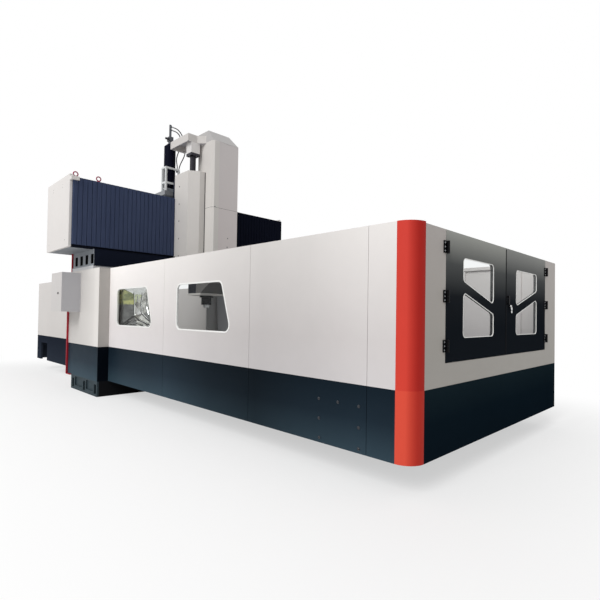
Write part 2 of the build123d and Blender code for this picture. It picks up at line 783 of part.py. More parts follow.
def bottle():
    low, high = BOTTLE_Z
    lower, upper = BOTTLE_SHOULDERS
    outline = Polygon(
        (0, low),
        (BOTTLE_ENDS[0], low),
        (BOTTLE_RADIUS, low + lower),
        (BOTTLE_RADIUS, high - upper),
        (BOTTLE_ENDS[1], high),
        (0, high),
        align=None,
    )
    turned = revolve(Plane.XZ * outline, Axis.Z)
    return Pos(BOTTLE_X, BOTTLE_Y, 0) * turned


def valve_head():
    """The valve block on the bottle's neck and the pipe that stands on it."""
    length, width, height = VALVE
    neck_top = BOTTLE_Z[1] + NECK[1]
    top = neck_top + height
    neck = upright(BOTTLE_X, BOTTLE_Y, NECK[0], (BOTTLE_Z[1], neck_top))
    body = block((BOTTLE_X - length / 2, BOTTLE_X + length / 2),
                 (BOTTLE_Y - width / 2, BOTTLE_Y + width / 2), (neck_top, top))
    middle = (BOTTLE_X, BOTTLE_Y - width / 2 - KNOB[1] / 2, (neck_top + top) / 2)
    knob = Pos(*middle) * Rot(90, 0, 0) * Cylinder(*KNOB)
    pipe = upright(BOTTLE_X, BOTTLE_Y, PIPE, (top, PIPE_TOP))
    return neck + body + knob + pipe


def bottle_cage():
    """A frame of square bar around the bottle's outer corner."""
    half = CAGE_BAR / 2
    left, right = CAGE_X
    near, far = CAGE_Y
    top = CAGE_LEVELS[1] + half
    posts = [
        block((x - half, x + half), (y - half, y + half), (SHELF_Z[1], top))
        for x, y in ((right, near), (left, near), (right, far))
    ]
    frame = posts[0] + posts[1] + posts[2]
    for z in CAGE_LEVELS:
        zs = (z - half, z + half)
        frame += block((left, right), (near - half, near + half), zs)
        frame += block((right - half, right + half), (near, far), zs)
    return frame


def hose(route):
    """A hose along the points of its route, with a round bend at each."""
    line = FilletPolyline(*route, radius=HOSE_BEND)
    start = Plane(origin=line @ 0, z_dir=line % 0)
    return sweep(start * Circle(HOSE), path=line)


def hose_fitting():
    """The block on the cage's side rail that the hoses end in."""
    length, width, height = HOSE_FITTING
    right = CAGE_X[1] - CAGE_BAR / 2
    top = UPPER_HOSE[-1][2]
    return block((right - length, right),
                 (HOSE_FITTING_Y - width / 2, HOSE_FITTING_Y + width / 2), (top - height, top))


def bottle_bracket():
    return block((BOTTLE_X - BRACKET_HALF, BOTTLE_X + BRACKET_HALF),
                 (BOTTLE_Y - BRACKET_HALF, BOTTLE_Y + BRACKET_HALF), (SHELF_Z[1], BOTTLE_Z[0]))


# Bed and table


def bed():
    half = BED_WIDTH / 2
    waist = half - BED_WAIST
    right = (
        (half, 0),
        (half, BED_FOOT[0]),
        (waist, BED_FOOT[1]),
        (waist, BED_TOP - BED_HEAD[1]),
        (half, BED_TOP - BED_HEAD[0]),
        (half, BED_TOP),
    )
    left = [(-y, z) for y, z in reversed(right)]
    body = across(Polygon(*right, *left, align=None), BED_X)
    for y in (-WAY_SPREAD / 2, WAY_SPREAD / 2):
        body += block(BED_X, (y - WAY[0] / 2, y + WAY[0] / 2), (BED_TOP, BED_TOP + WAY[1]))
    return body


def table():
    half = TABLE_WIDTH / 2
    low = TABLE_TOP - TABLE_THICKNESS
    body = block(TABLE_X, (-half, half), (low, TABLE_TOP))
    for y in (-WAY_SPREAD / 2, WAY_SPREAD / 2):
        body += block(TABLE_X, (y - WAY[0] / 2, y + WAY[0] / 2), (BED_TOP + WAY[1], low))
    for n in range(T_SLOTS):
        y = (n - (T_SLOTS - 1) / 2) * T_SLOT_PITCH
        xs = (TABLE_X[0] - PAST, TABLE_X[1] + PAST)
        body -= block(xs, (y - T_SLOT[0] / 2, y + T_SLOT[0] / 2),
                      (TABLE_TOP - T_SLOT[1], TABLE_TOP + PAST))
        body -= block(xs, (y - T_SLOT_FOOT[0] / 2, y + T_SLOT_FOOT[0] / 2),
                      (TABLE_TOP - T_SLOT[1], TABLE_TOP - T_SLOT[1] + T_SLOT_FOOT[1]))
    return body


def splash_tray():
    """The sheet floor between the guard and the bed, on both sides and at the front."""
    z = (SKIRT_BOTTOM, SKIRT_BOTTOM + TRAY)
    bed_side = BED_WIDTH / 2 - BED_WAIST
    inner = HALF_WIDTH - PANEL
    cut = (z[0] - PAST, z[1] + PAST)
    sheet = block((COLUMN_FRONT, FRONT_X - PANEL), (-inner, inner), z)
    sheet -= block((COLUMN_FRONT - PAST, BED_X[1]), (-bed_side, bed_side), cut)
    corner = block((FRONT_X - POST_RADIUS, FRONT_X), (-HALF_WIDTH, -HALF_WIDTH + POST_RADIUS), cut)
    return sheet - corner


# All pieces, by name


def pair(shape):
    """A -Y piece and its mirrored twin."""
    return Compound([shape, other_side(shape)])


parts = {}

panels, skirt, panes = guard_walls()
parts["wall_panels"] = pair(panels)
parts["wall_skirts"] = pair(skirt)
parts["wall_glass"] = pair(panes)
parts["rear_wall"] = rear_guard((SKIRT_TOP, REAR_WALL_TOP))
parts["rear_skirt"] = rear_skirt()
parts["corner_post_upper"] = corner_post((SKIRT_TOP, POST_TOP))
parts["corner_post_lower"] = corner_post((SKIRT_BOTTOM, SKIRT_TOP))

left_jamb, right_jamb, sill, end_skirt = end_wall()
parts["door_jambs"] = Compound([left_jamb, right_jamb])
parts["door_sill"] = sill
parts["end_skirt"] = end_skirt

left_panes = pane_outlines()
middle = DOORWAY[0] + DOORWAY[1]
right_panes = [[(middle - y, z) for y, z in reversed(points)] for points in left_panes]
left_edge = DOOR_MEETING - DOOR_GAP / 2
right_edge = DOOR_MEETING + DOOR_GAP / 2
parts["left_door"], parts["left_door_glass"] = door(DOORWAY[0], left_edge, left_panes)
parts["right_door"], parts["right_door_glass"] = door(DOORWAY[1], right_edge, right_panes)
left_fixed, left_moving = hinge_set(DOORWAY[0] - DOOR_GAP / 2, 1)
right_fixed, right_moving = hinge_set(DOORWAY[1] + DOOR_GAP / 2, -1)
parts["door_hinges_fixed"] = Compound(left_fixed + right_fixed)
parts["left_door_hinges"] = Compound(left_moving)
parts["right_door_hinges"] = Compound(right_moving)
parts["door_handle"] = door_handle()

parts["columns"] = pair(column())
parts["column_covers"] = pair(column_cover((SKIRT_TOP, WALL_TOP)))
parts["column_skirts"] = pair(column_cover((SKIRT_BOTTOM, SKIRT_TOP)))
parts["back_panels"] = pair(back_panel())
parts["cabinet"], parts["cabinet_door"] = cabinet()

parts["crossbeam"] = crossbeam()
parts["beam_rails"] = beam_rails()
parts["beam_caps"] = beam_caps()
parts["beam_apron"] = apron()
near_eyes = [lifting_eye(BEAM_FRONT - EYE_BACK, BEAM_ENDS[0] + run) for run in EYE_FROM_END]
far_eyes = [lifting_eye(BEAM_REAR + EYE_BACK, BEAM_ENDS[1] - run) for run in EYE_FROM_END]
parts["lifting_eyes"] = Compound(near_eyes + far_eyes)
parts["left_bellows"] = bellows((BEAM_ENDS[0] + BEAM_CAP, cover_side(-1) - FIT))
parts["right_bellows"] = bellows((cover_side(1) + FIT, BEAM_ENDS[1]))

parts["saddle"] = saddle()
parts["saddle_covers"] = Compound([saddle_cover(-1), saddle_cover(1)])
parts["tower_lower"] = tower((HEAD_BOTTOM - PAST, TOWER_SEAM))
parts["tower_upper"] = tower((TOWER_SEAM, TOWER_RIDGE + PAST))
parts["ram"] = ram()
parts["head_bottom_plate"] = bottom_plate()
parts["arms"] = Compound([arm(-1), arm(1)])
parts["balance_rods"] = Compound([balance_rod(-1), balance_rod(1)])
parts["spindle_housing"] = spindle_housing()
parts["spindle_nose"] = spindle_nose()

parts["accumulator_bottle"] = bottle()
parts["valve_head"] = valve_head()
parts["bottle_cage"] = bottle_cage()
parts["bottle_bracket"] = bottle_bracket()
parts["hose_fitting"] = hose_fitting()
parts["upper_hose"] = hose(UPPER_HOSE)
parts["lower_hose"] = hose(LOWER_HOSE)

parts["bed"] = bed()
parts["table"] = table()
parts["splash_tray"] = splash_tray()

for name, shape in parts.items():
    export_step(shape, f"parts/{name}.step")
print(len(parts), "parts")
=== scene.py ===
import math

import bmesh
import bpy
from mathutils import Matrix, Vector


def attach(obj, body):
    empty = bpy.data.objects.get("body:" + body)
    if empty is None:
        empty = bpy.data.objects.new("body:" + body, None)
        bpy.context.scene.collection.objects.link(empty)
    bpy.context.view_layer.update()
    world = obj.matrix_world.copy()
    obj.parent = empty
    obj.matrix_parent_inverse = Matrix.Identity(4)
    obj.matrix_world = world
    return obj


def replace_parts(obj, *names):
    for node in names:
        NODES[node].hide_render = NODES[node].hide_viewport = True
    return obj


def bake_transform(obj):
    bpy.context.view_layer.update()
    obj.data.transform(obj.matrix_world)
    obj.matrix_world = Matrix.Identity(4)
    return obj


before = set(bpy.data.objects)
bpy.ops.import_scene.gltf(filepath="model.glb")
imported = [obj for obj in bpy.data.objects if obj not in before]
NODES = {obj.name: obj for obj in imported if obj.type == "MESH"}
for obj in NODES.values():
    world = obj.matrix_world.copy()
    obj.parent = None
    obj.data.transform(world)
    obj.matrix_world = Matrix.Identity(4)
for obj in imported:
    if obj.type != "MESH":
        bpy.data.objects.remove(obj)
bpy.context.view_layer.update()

X, Y, Z = range(3)
SIDES = (-1, 1)

# Where the walls, the covers and the beam's ends are, in metres
WALL_Y = 1.810
PANEL = 0.040
FRONT_X = 5.425
SKIRT_LOW = 0.260
WALL_TOP = 2.200
SEAMS = (1.439, 3.383, 4.982)
STIFFENERS = (0.48, 2.40, 4.18)
COVER_SIDES = (-0.3825, 0.7925)
CAP_SIDES = (-2.3472, 2.5402)

# The balance rods, the underside of their flanges and the top of the collars they pass through
ROD_X = -0.505
ROD_YS = (-0.230, 0.665)
FLANGE_Z = 4.563
COLLAR_Z = 4.255


# Camera, fitted to the photograph


CAMERA_AT = (7.2114, -4.8372, 1.4271)
CAMERA_YAW = 135.125
CAMERA_PITCH = 1.008
CAMERA_ROLL = 0.883
CAMERA_LENS = 26.401
CAMERA_SENSOR = 36.0
CAMERA_SHIFT = 0.0134
CAMERA_REACH = 200.0

yaw, pitch, roll = (math.radians(a) for a in (CAMERA_YAW, CAMERA_PITCH, CAMERA_ROLL))
forward = Vector((math.cos(yaw) * math.cos(pitch), math.sin(yaw) * math.cos(pitch),
                  math.sin(pitch)))
level = Vector((math.sin(yaw), -math.cos(yaw), 0))
upright = level.cross(forward)
right = level * math.cos(roll) + upright * math.sin(roll)
up = upright * math.cos(roll) - level * math.sin(roll)
camera = bpy.data.objects.new("camera", bpy.data.cameras.new("camera"))
bpy.context.scene.collection.objects.link(camera)
camera.matrix_world = Matrix.Translation(CAMERA_AT) @ Matrix(
    (right, up, -forward)).transposed().to_4x4()
camera.data.lens = CAMERA_LENS
camera.data.sensor_width = CAMERA_SENSOR
camera.data.shift_y = CAMERA_SHIFT
camera.data.clip_end = CAMERA_REACH
bpy.context.scene.camera = camera
bpy.context.scene.view_settings.view_transform = "Standard"


# Materials


# Noise patterns, as a scale and a detail
CLOUDS = (0.8, 4.0)
MARKS = (9.0, 6.0)
SHINE = (5.0, 5.0)
PEEL = (260.0, 2.0)
CAST_SKIN = (70.0, 8.0)
BRUSHED = (90.0, 4.0)

# How far a face has to look along an axis to count as facing that way
FACING = (0.5, 0.9)
FACING_DOWN = -0.5

# Where a paint changes, each as the two ends of the change
TOWER_PANEL_SIDE = (0.077, 0.0785)
TOWER_PANEL_LOW = (2.058, 2.062)
TOWER_PANEL_RISE = (2.3, 4.8)
TOWER_ROOF = (4.829, 4.832)
ARM_PADS = (4.815, 4.818)
COLUMN_FOOT = (0.260, 0.262)
COLUMN_HEAD = (2.262, 2.264)
COLUMN_POCKETS = (2.268, 2.270)
SKIRT_HEIGHTS = (SKIRT_LOW, 0.85)
DOOR_HEIGHTS = (1.05, 2.19)

# How far from the centre plane the columns' pockets and slots have their floors
POCKET_FLOOR = 1.936
SLOT_FLOOR = 1.962

PANE_INDEX = 1.15


def linear(colour):
    """A linear colour from 8-bit values."""
    out = []
    for value in colour:
        c = value / 255
        out.append(c / 12.92 if c <= 0.04045 else ((c + 0.055) / 1.055) ** 2.4)
    return (*out, 1.0)


def shifted(colour, step):
    """An 8-bit colour made lighter or darker by a step."""
    return [min(255, max(0, value + step)) for value in colour]


def even_stops(colours):
    """A ramp's stops at even distances, from 8-bit colours."""
    last = len(colours) - 1
    return [(n / last, linear(colour)) for n, colour in enumerate(colours)]


class Shader:
    """A node tree with short ways to add and join its nodes."""

    def __init__(self, name):
        self.material = bpy.data.materials.new(name)
        self.material.use_nodes = True
        self.tree = self.material.node_tree
        self.tree.nodes.clear()
        self.output = self.add("ShaderNodeOutputMaterial")

    def add(self, kind, **values):
        node = self.tree.nodes.new(kind)
        for key, value in values.items():
            if key in node.inputs:
                node.inputs[key].default_value = value
            else:
                setattr(node, key, value)
        return node

    def join(self, source, target):
        self.tree.links.new(source, target)

    def feed(self, value, socket):
        """Sets a socket to a number or a colour, or joins a node's output to it."""
        if isinstance(value, (int, float, tuple)):
            socket.default_value = value
        else:
            self.join(value, socket)

    def place(self):
        """The point in the object's own space, which is the machine's space."""
        return self.add("ShaderNodeTexCoord").outputs["Object"]

    def normal(self):
        return self.add("ShaderNodeNewGeometry").outputs["Normal"]

    def part(self, source, axis):
        """How far a point or a direction goes along one axis."""
        parts = self.add("ShaderNodeSeparateXYZ")
        self.join(source, parts.inputs[0])
        return parts.outputs[axis]

    def maths(self, operation, first, second=0.0):
        """One step of arithmetic."""
        node = self.add("ShaderNodeMath", operation=operation)
        self.feed(first, node.inputs[0])
        self.feed(second, node.inputs[1])
        return node.outputs[0]

    def noise(self, scale, detail, stretch=None):
        noise = self.add("ShaderNodeTexNoise", Scale=scale, Detail=detail)
        place = self.place()
        if stretch:
            mapping = self.add("ShaderNodeMapping", Scale=stretch)
            self.join(place, mapping.inputs["Vector"])
            place = mapping.outputs["Vector"]
        self.join(place, noise.inputs["Vector"])
        return noise.outputs["Fac"]

    def ramp(self, factor, stops):
        ramp = self.add("ShaderNodeValToRGB")
        elements = ramp.color_ramp.elements
        while len(elements) < len(stops):
            elements.new(0.5)
        for element, (position, colour) in zip(elements, stops):
            element.position = position
            element.color = colour
        self.join(factor, ramp.inputs["Fac"])
        return ramp.outputs["Color"]

    def spread(self, factor, low, high):
        """A factor from 0 to 1 spread between two values."""
        node = self.add("ShaderNodeMapRange")
        node.inputs["To Min"].default_value = low
        node.inputs["To Max"].default_value = high
        self.join(factor, node.inputs["Value"])
        return node.outputs["Result"]

    def share(self, value, low, high):
        """0 where the value is low and 1 where it is high."""
        node = self.add("ShaderNodeMapRange")
        node.inputs["From Min"].default_value = low
        node.inputs["From Max"].default_value = high
        self.join(value, node.inputs["Value"])
        return node.outputs["Result"]

    def mix(self, factor, first, second, blend="MIX"):
        node = self.add("ShaderNodeMix", data_type="RGBA", blend_type=blend)
        for value, socket in ((factor, 0), (first, 6), (second, 7)):
            self.feed(value, node.inputs[socket])
        return node.outputs[2]

    def along(self, axis, low, high):
        """0 at low and 1 at high along an axis of the machine."""
        return self.share(self.part(self.place(), axis), low, high)

    def facing(self, axis):
        """1 on faces that look along an axis of the machine, 0 on the others."""
        return self.share(self.part(self.normal(), axis), *FACING)

    def within(self, axis, half):
        """1 closer than half to the machine's centre plane along an axis, 0 beyond."""
        distance = self.maths("ABSOLUTE", self.part(self.place(), axis))
        return self.maths("LESS_THAN", distance, half)

    def both(self, first, second):
        return self.maths("MULTIPLY", first, second)

    def blend(self, factor, first, second):
        """Ends the material as a mix of two shaders."""
        node = self.add("ShaderNodeMixShader")
        for source, socket in ((factor, 0), (first, 1), (second, 2)):
            self.join(source, node.inputs[socket])
        self.join(node.outputs[0], self.output.inputs[0])
        return self.material

    def finish(self, colour, rough, bump, strength, reach, **sockets):
        """Ends the material as one surface with a bump that reaches so far."""
        node = self.add("ShaderNodeBsdfPrincipled")
        self.join(colour, node.inputs["Base Color"])
        self.join(rough, node.inputs["Roughness"])
        for key, value in sockets.items():
            node.inputs[key.replace("_", " ")].default_value = value
        bumps = self.add("ShaderNodeBump", Strength=strength, Distance=reach)
        self.join(bump, bumps.inputs["Height"])
        self.join(bumps.outputs["Normal"], node.inputs["Normal"])
        self.join(node.outputs[0], self.output.inputs[0])
        return self.material

    def sprayed(self, colour, rough, gloss):
        """Ends the material as a sprayed paint with its orange peel."""
        return self.finish(colour, rough, self.noise(*PEEL), 0.10, 0.0006,
                           Specular_IOR_Level=gloss)


def paint(name, colours, rough=0.42, heights=(SKIRT_LOW, WALL_TOP), cloud=0.05, gloss=0.3,
          painted_light=(), painted_shade_face=None, patch=None):
    """Sheet-metal paint: a slow change with height, cloudy handling marks, orange peel.

    The slow change with height is mostly painted light and reflection. The pairs of a place
    along X and a brightness there paint light and shade along the machine, the colour of the
    faces that look along +X is a painted shade on them, and patch is an axis, two places along
    it and a second colour that takes over between them."""
    shader = Shader(name)
    base = shader.ramp(shader.along(Z, *heights), even_stops(colours))
    if patch:
        axis, low, high, colour = patch
        base = shader.mix(shader.along(axis, low, high), base, linear(colour))
    if painted_shade_face:
        base = shader.mix(shader.facing(X), base, linear(painted_shade_face))
    if painted_light:
        low, high = painted_light[0][0], painted_light[-1][0]
        steps = [((x - low) / (high - low), (tone, tone, tone, 1.0)) for x, tone in painted_light]
        base = shader.mix(1.0, base, shader.ramp(shader.along(X, low, high), steps), "MULTIPLY")
    cloudy = shader.spread(shader.noise(*CLOUDS), 1.0 - cloud, 1.0 + cloud)
    fine = shader.spread(shader.noise(*MARKS), 1.0 - cloud / 3, 1.0 + cloud / 3)
    product = shader.both(cloudy, fine)
    grey = shader.add("ShaderNodeCombineColor")
    for channel in range(3):
        shader.join(product, grey.inputs[channel])
    base = shader.mix(1.0, base, grey.outputs[0], "MULTIPLY")
    roughness = shader.spread(shader.noise(*SHINE), rough - 0.07, rough + 0.07)
    return shader.sprayed(base, roughness, gloss)


def tower_paint(name, heights, colours):
    """The headstock's cover: a darker front panel beside its light edge, a dull grey roof."""
    shader = Shader(name)
    base = shader.ramp(shader.along(Z, *heights), even_stops(colours))
    panel = shader.both(shader.facing(X), shader.along(Y, *TOWER_PANEL_SIDE))
    front = shader.mix(shader.along(Z, *TOWER_PANEL_RISE), linear((224, 215, 213)),
                       linear((214, 208, 207)))
    low_front = shader.mix(shader.along(Z, *TOWER_PANEL_LOW), base, front)
    base = shader.mix(panel, base, low_front)
    base = shader.mix(shader.along(Z, *TOWER_ROOF), base, linear((188, 186, 185)))
    cloudy = shader.spread(shader.noise(0.9, 4.0), 0.0, 0.10)
    base = shader.mix(cloudy, base, linear((150, 146, 143)))
    return shader.sprayed(base, shader.spread(shader.noise(*SHINE), 0.36, 0.5), 0.15)


def arm_paint(name):
    """Sheet arms, light on top and outside, with a faint bluish painted shade on the faces that
    look down, and light pads over the rods.
    """
    shader = Shader(name)
    under = shader.maths("LESS_THAN", shader.part(shader.normal(), Z), FACING_DOWN)
    cloudy = shader.noise(1.4, 4.0)
    light = shader.mix(cloudy, linear((214, 210, 206)), linear((206, 202, 199)))
    base = shader.mix(under, light, linear((206, 204, 208)))
    base = shader.mix(shader.along(Z, *ARM_PADS), linear((226, 223, 221)), base)
    return shader.sprayed(base, shader.spread(cloudy, 0.4, 0.52), 0.12)


def casting_paint(name, colour, front=None, column=False):
    """Filled and painted cast iron: coarse skin and dusty patches.

    front is the colour of the faces that look along +X. A column has a dark foot, and its
    pockets, its slots and the foot's faces nearer the centre plane than the slots' floors get
    a near-black painted shade."""
    shader = Shader(name)
    base = shader.ramp(shader.noise(3.0, 8.0),
                       ((0.35, linear(colour)), (0.75, linear(shifted(colour, 14)))))
    if front:
        base = shader.mix(shader.facing(X), base, linear(front))
    if column:
        trunk = shader.mix(shader.noise(1.2, 4.0), linear((214, 214, 216)), linear((196, 197, 200)))
        base = shader.mix(shader.along(Z, *COLUMN_HEAD), trunk, base)
        # Near-black painted shade for the pockets and the slots
        dark = linear((9, 10, 13))
        pockets = shader.both(shader.within(Y, POCKET_FLOOR), shader.along(Z, *COLUMN_POCKETS))
        base = shader.mix(pockets, base, dark)
        foot = shader.mix(shader.within(Y, SLOT_FLOOR), linear((52, 64, 70)), dark)
        base = shader.mix(shader.along(Z, *COLUMN_FOOT), foot, base)
    skin = shader.noise(*CAST_SKIN)
    return shader.finish(base, shader.spread(skin, 0.5, 0.7), skin, 0.25, 0.002,
                         Specular_IOR_Level=0.12)


def rod_metal(name, split):
    """A hard-chromed rod, dark as a painted reflection of its dark surroundings, with a dark grey
    painted flange above the split height.
    """
    shader = Shader(name)
    lines = shader.noise(*BRUSHED, (40.0, 40.0, 1.0))
    rod = shader.mix(lines, linear((30, 29, 34)), linear((56, 55, 62)))
    upper = shader.along(Z, split, split + 0.001)
    base = shader.mix(upper, rod, linear((58, 57, 64)))
    return shader.finish(base, shader.spread(lines, 0.24, 0.4), lines, 0.05, 0.0003,
                         Metallic=0.45, Specular_IOR_Level=0.2)


def mirror_sheet(name, colour, shade, scale=2.2):
    """Polished stainless sheet with painted reflections that smear from one colour to another."""
    shader = Shader(name)
    painted_reflection = shader.ramp(shader.noise(scale, 6.0, (1.0, 1.0, 2.2)),
                        ((0.38, linear(shade)), (0.62, linear(colour))))
    lines = shader.noise(60.0, 4.0, (1.0, 1.0, 30.0))
    return shader.finish(painted_reflection, shader.spread(lines, 0.10, 0.22), shader.noise(9.0, 3.0), 0.25,
                         0.004, Metallic=1.0)


def metal(name, colour, rough=0.3):
    """Ground or turned steel with a fine upright grain."""
    shader = Shader(name)
    lines = shader.noise(*BRUSHED, (1.0, 1.0, 40.0))
    base = shader.mix(lines, linear(shifted(colour, -26)), linear(colour))
    return shader.finish(base, shader.spread(lines, rough - 0.08, rough + 0.1), lines, 0.08,
                         0.0004, Metallic=1.0)


def plastic(name, colour, rough, gloss=0.15):
    """Moulded plastic, rubber or enamel with a fine grain."""
    shader = Shader(name)
    grain = shader.noise(500.0, 3.0)
    base = shader.mix(shader.noise(12.0, 4.0), linear(colour), linear(shifted(colour, 9)))
    return shader.finish(base, shader.spread(grain, rough - 0.08, rough + 0.08), grain, 0.12,
                         0.0004, Specular_IOR_Level=gloss)


def cloth(name, colour, light):
    """Coated bellows cloth: a woven grain, paler in long upright streaks."""
    shader = Shader(name)
    weave = shader.noise(700.0, 2.0)
    streak = shader.noise(6.0, 5.0, (1.0, 6.0, 0.25))
    base = shader.mix(shader.spread(streak, 0.0, 0.9), linear(colour), linear(light))
    return shader.finish(base, shader.spread(streak, 0.42, 0.62), weave, 0.2, 0.0006,
                         Specular_IOR_Level=0.02, Sheen_Weight=0.02, Sheen_Roughness=0.4)


def pane_glass(name, tint, haze):
    """A window pane: clear straight on, bright at a slant, slightly wavy."""
    shader = Shader(name)
    clear = shader.add("ShaderNodeBsdfTransparent", Color=linear(tint))
    gloss = shader.add("ShaderNodeBsdfGlossy", Roughness=0.03)
    wave = shader.add("ShaderNodeBump", Strength=0.25, Distance=0.01)
    shader.join(shader.noise(2.2, 2.0), wave.inputs["Height"])
    shader.join(wave.outputs["Normal"], gloss.inputs["Normal"])
    fresnel = shader.add("ShaderNodeFresnel", IOR=PANE_INDEX)
    back = shader.add("ShaderNodeNewGeometry").outputs["Backfacing"]
    slant = shader.spread(fresnel.outputs[0], haze, 1.0)
    return shader.blend(shader.both(slant, shader.maths("SUBTRACT", 1.0, back)),
                        clear.outputs[0], gloss.outputs[0])


# Painted light and shade along the machine for the walls, the column covers and the skirts: pairs
# of a place along X and a brightness there
WALL_PAINTED_LIGHT = ((-0.48, 1.18), (0.3, 1.05), (1.43, 0.97), (2.6, 0.81), (3.6, 0.72), (4.3, 0.78),
              (4.98, 0.90), (5.26, 0.92))
COVER_PAINTED_LIGHT = ((-1.95, 0.72), (-1.3, 0.80), (-0.95, 0.87), (-0.75, 0.94), (-0.62, 1.03))
SKIRT_PAINTED_LIGHT = ((-0.6, 1.3), (-0.4, 1.0), (1.5, 1.14), (2.6, 0.62), (3.5, 0.42), (4.2, 0.78),
               (4.9, 1.0))
# The guard walls' white is lighter near their top: a painted light
WHITE = paint("guard_white", ((213, 210, 212), (215, 210, 209), (241, 237, 234)),
              painted_light=WALL_PAINTED_LIGHT, gloss=0.15)
# The column covers get painted light and shade along X, and a darker painted shade on the faces
# that look along +X
COVER = paint("cover_white", ((220, 216, 213), (222, 218, 214), (224, 220, 216)), gloss=0.1,
              painted_light=COVER_PAINTED_LIGHT, painted_shade_face=(174, 170, 166))
# The cabinet's faces that look along +X get a darker painted shade
CABINET = paint("cabinet_white", ((196, 193, 191), (202, 198, 196)), heights=(1.4, 2.2),
                gloss=0.12, painted_shade_face=(186, 185, 188))
REAR = paint("rear_white", ((196, 192, 189), (203, 199, 196), (208, 204, 201)), gloss=0.1)
CAP = paint("cap_white", ((220, 216, 213), (226, 222, 219)), heights=(2.5, 3.8), gloss=0.15)
# The end wall, jambs and sill: the guard's white darkened into a beige-grey as a painted shade,
# lighter towards the top
SHADED_BEIGE = paint("end_shaded_beige", ((168, 165, 160), (166, 162, 156), (178, 172, 168)), gloss=0.08)
# The skirts' slate is lighter low down as a painted floor reflection, gets painted light and shade
# along X, and a near-black painted shade on the faces that look along +X
SLATE = paint("skirt_slate", ((50, 66, 76), (30, 42, 52), (20, 31, 40)), 0.4, SKIRT_HEIGHTS,
              0.10, 0.02, SKIRT_PAINTED_LIGHT, painted_shade_face=(7, 12, 19))
REAR_SLATE = paint("rear_slate", ((44, 50, 60), (32, 37, 47)), 0.4, SKIRT_HEIGHTS, 0.10, 0.0)
# The end skirt is a darker copy of the skirt slate: a painted shade
SHADED_END_SLATE = paint("end_shaded_slate", ((14, 24, 32), (15, 26, 34), (24, 36, 42)), 0.4, SKIRT_HEIGHTS,
                  0.2, 0.0)
# The corner post's faces that look along +X get a darker painted shade
RED_UP = paint("post_red", ((208, 66, 52), (206, 66, 54), (206, 66, 56)), 0.36, gloss=0.06,
               painted_shade_face=(166, 38, 32))
RED_LOW = paint("post_red_low", ((212, 78, 60), (214, 78, 60)), 0.36, SKIRT_HEIGHTS, gloss=0.06,
                painted_shade_face=(176, 48, 38))
RED_BACK = paint("panel_red", ((158, 34, 46), (166, 40, 54)), 0.4, gloss=0.05,
                 patch=(Y, -1.356, -1.352, (206, 205, 203)))
EYE_RED = paint("eye_red", ((152, 44, 70), (170, 60, 90)), 0.4, (3.76, 3.92), gloss=0.15)
# Both door leaves run from near black low down to grey at the top: a painted reflection
DOOR_LEFT = paint("door_black_left", ((24, 28, 33), (23, 27, 32), (32, 35, 39), (84, 86, 86),
                                      (162, 163, 158)), 0.4, DOOR_HEIGHTS, 0.08, 0.0)
DOOR_RIGHT = paint("door_black_right", ((24, 28, 33), (23, 27, 32), (30, 33, 37), (78, 80, 81),
                                        (148, 149, 146)), 0.4, DOOR_HEIGHTS, 0.08, 0.0)
HEAD = paint("head_white", ((206, 202, 197), (212, 208, 204), (216, 212, 208)),
             heights=(1.8, 5.0), gloss=0.2)
# The lower headstock cover is dark grey at its bottom wedge: a painted shade under the headstock
TOWER_LOW = tower_paint("tower_white", (1.852, 2.2), ((104, 102, 100), (104, 102, 100),
                                                      (222, 218, 213)))
TOWER_TOP = tower_paint("tower_top_white", (3.5, 5.0), ((222, 218, 213), (216, 212, 208)))
ARM = arm_paint("arm_grey")
NAVY = paint("navy", ((18, 22, 34), (22, 28, 44)), 0.45, (1.5, 5.0), 0.12, 0.03)
SADDLE = paint("saddle_navy", ((160, 162, 164), (150, 152, 155)), 0.5, (3.8, 4.0), 0.12, 0.06,
               patch=(X, -1.006, -1.004, (22, 28, 44)))
SPINDLE_NAVY = paint("spindle_navy", ((8, 9, 16), (14, 16, 26)), 0.35, (1.6, 1.85), 0.1, 0.05)
BLACK = plastic("black_parts", (7, 7, 9), 0.38, 0.06)
RUBBER = plastic("rubber", (10, 10, 12), 0.7, 0.05)
TRIM = plastic("window_trim", (232, 232, 229), 0.4)
CAST = casting_paint("casting_grey", (140, 145, 151))
COLUMN_CAST = casting_paint("column_grey", (138, 143, 149), column=True)
BEAM_CAST = casting_paint("beam_grey", (140, 145, 151), front=(16, 20, 34))
BED_CAST = casting_paint("bed_grey", (116, 121, 126))
STEEL = metal("ground_steel", (196, 198, 200))
DARK_STEEL = metal("dark_steel", (92, 94, 98), 0.4)
# The rods' dark colour is a painted reflection of dark surroundings
ROD = rod_metal("rod_and_flange", FLANGE_Z)
# The creased sheet's facet colours are painted reflections
OLIVE_SHEET = mirror_sheet("sheet_olive", (196, 196, 124), (118, 126, 84), 6.0)
DARK_SHEET = mirror_sheet("sheet_dark", (112, 113, 110), (84, 84, 82), 5.0)
PALE_SHEET = mirror_sheet("sheet_pale", (216, 215, 208), (132, 131, 126), 6.0)
GREEN_SHEET = mirror_sheet("sheet_green", (214, 220, 184), (150, 158, 122), 6.0)
WHITE_SHEET = mirror_sheet("sheet_white", (250, 250, 248), (226, 227, 224))
SHEET_REAR = mirror_sheet("sheet_rear", (226, 226, 224), (212, 212, 210))
# A painted shade for the lines in the sheet's creases
CREASE_SHADE = mirror_sheet("crease_shade", (60, 60, 58), (44, 44, 42))
BELLOWS = cloth("bellows_cloth", (53, 62, 86), (73, 83, 110))
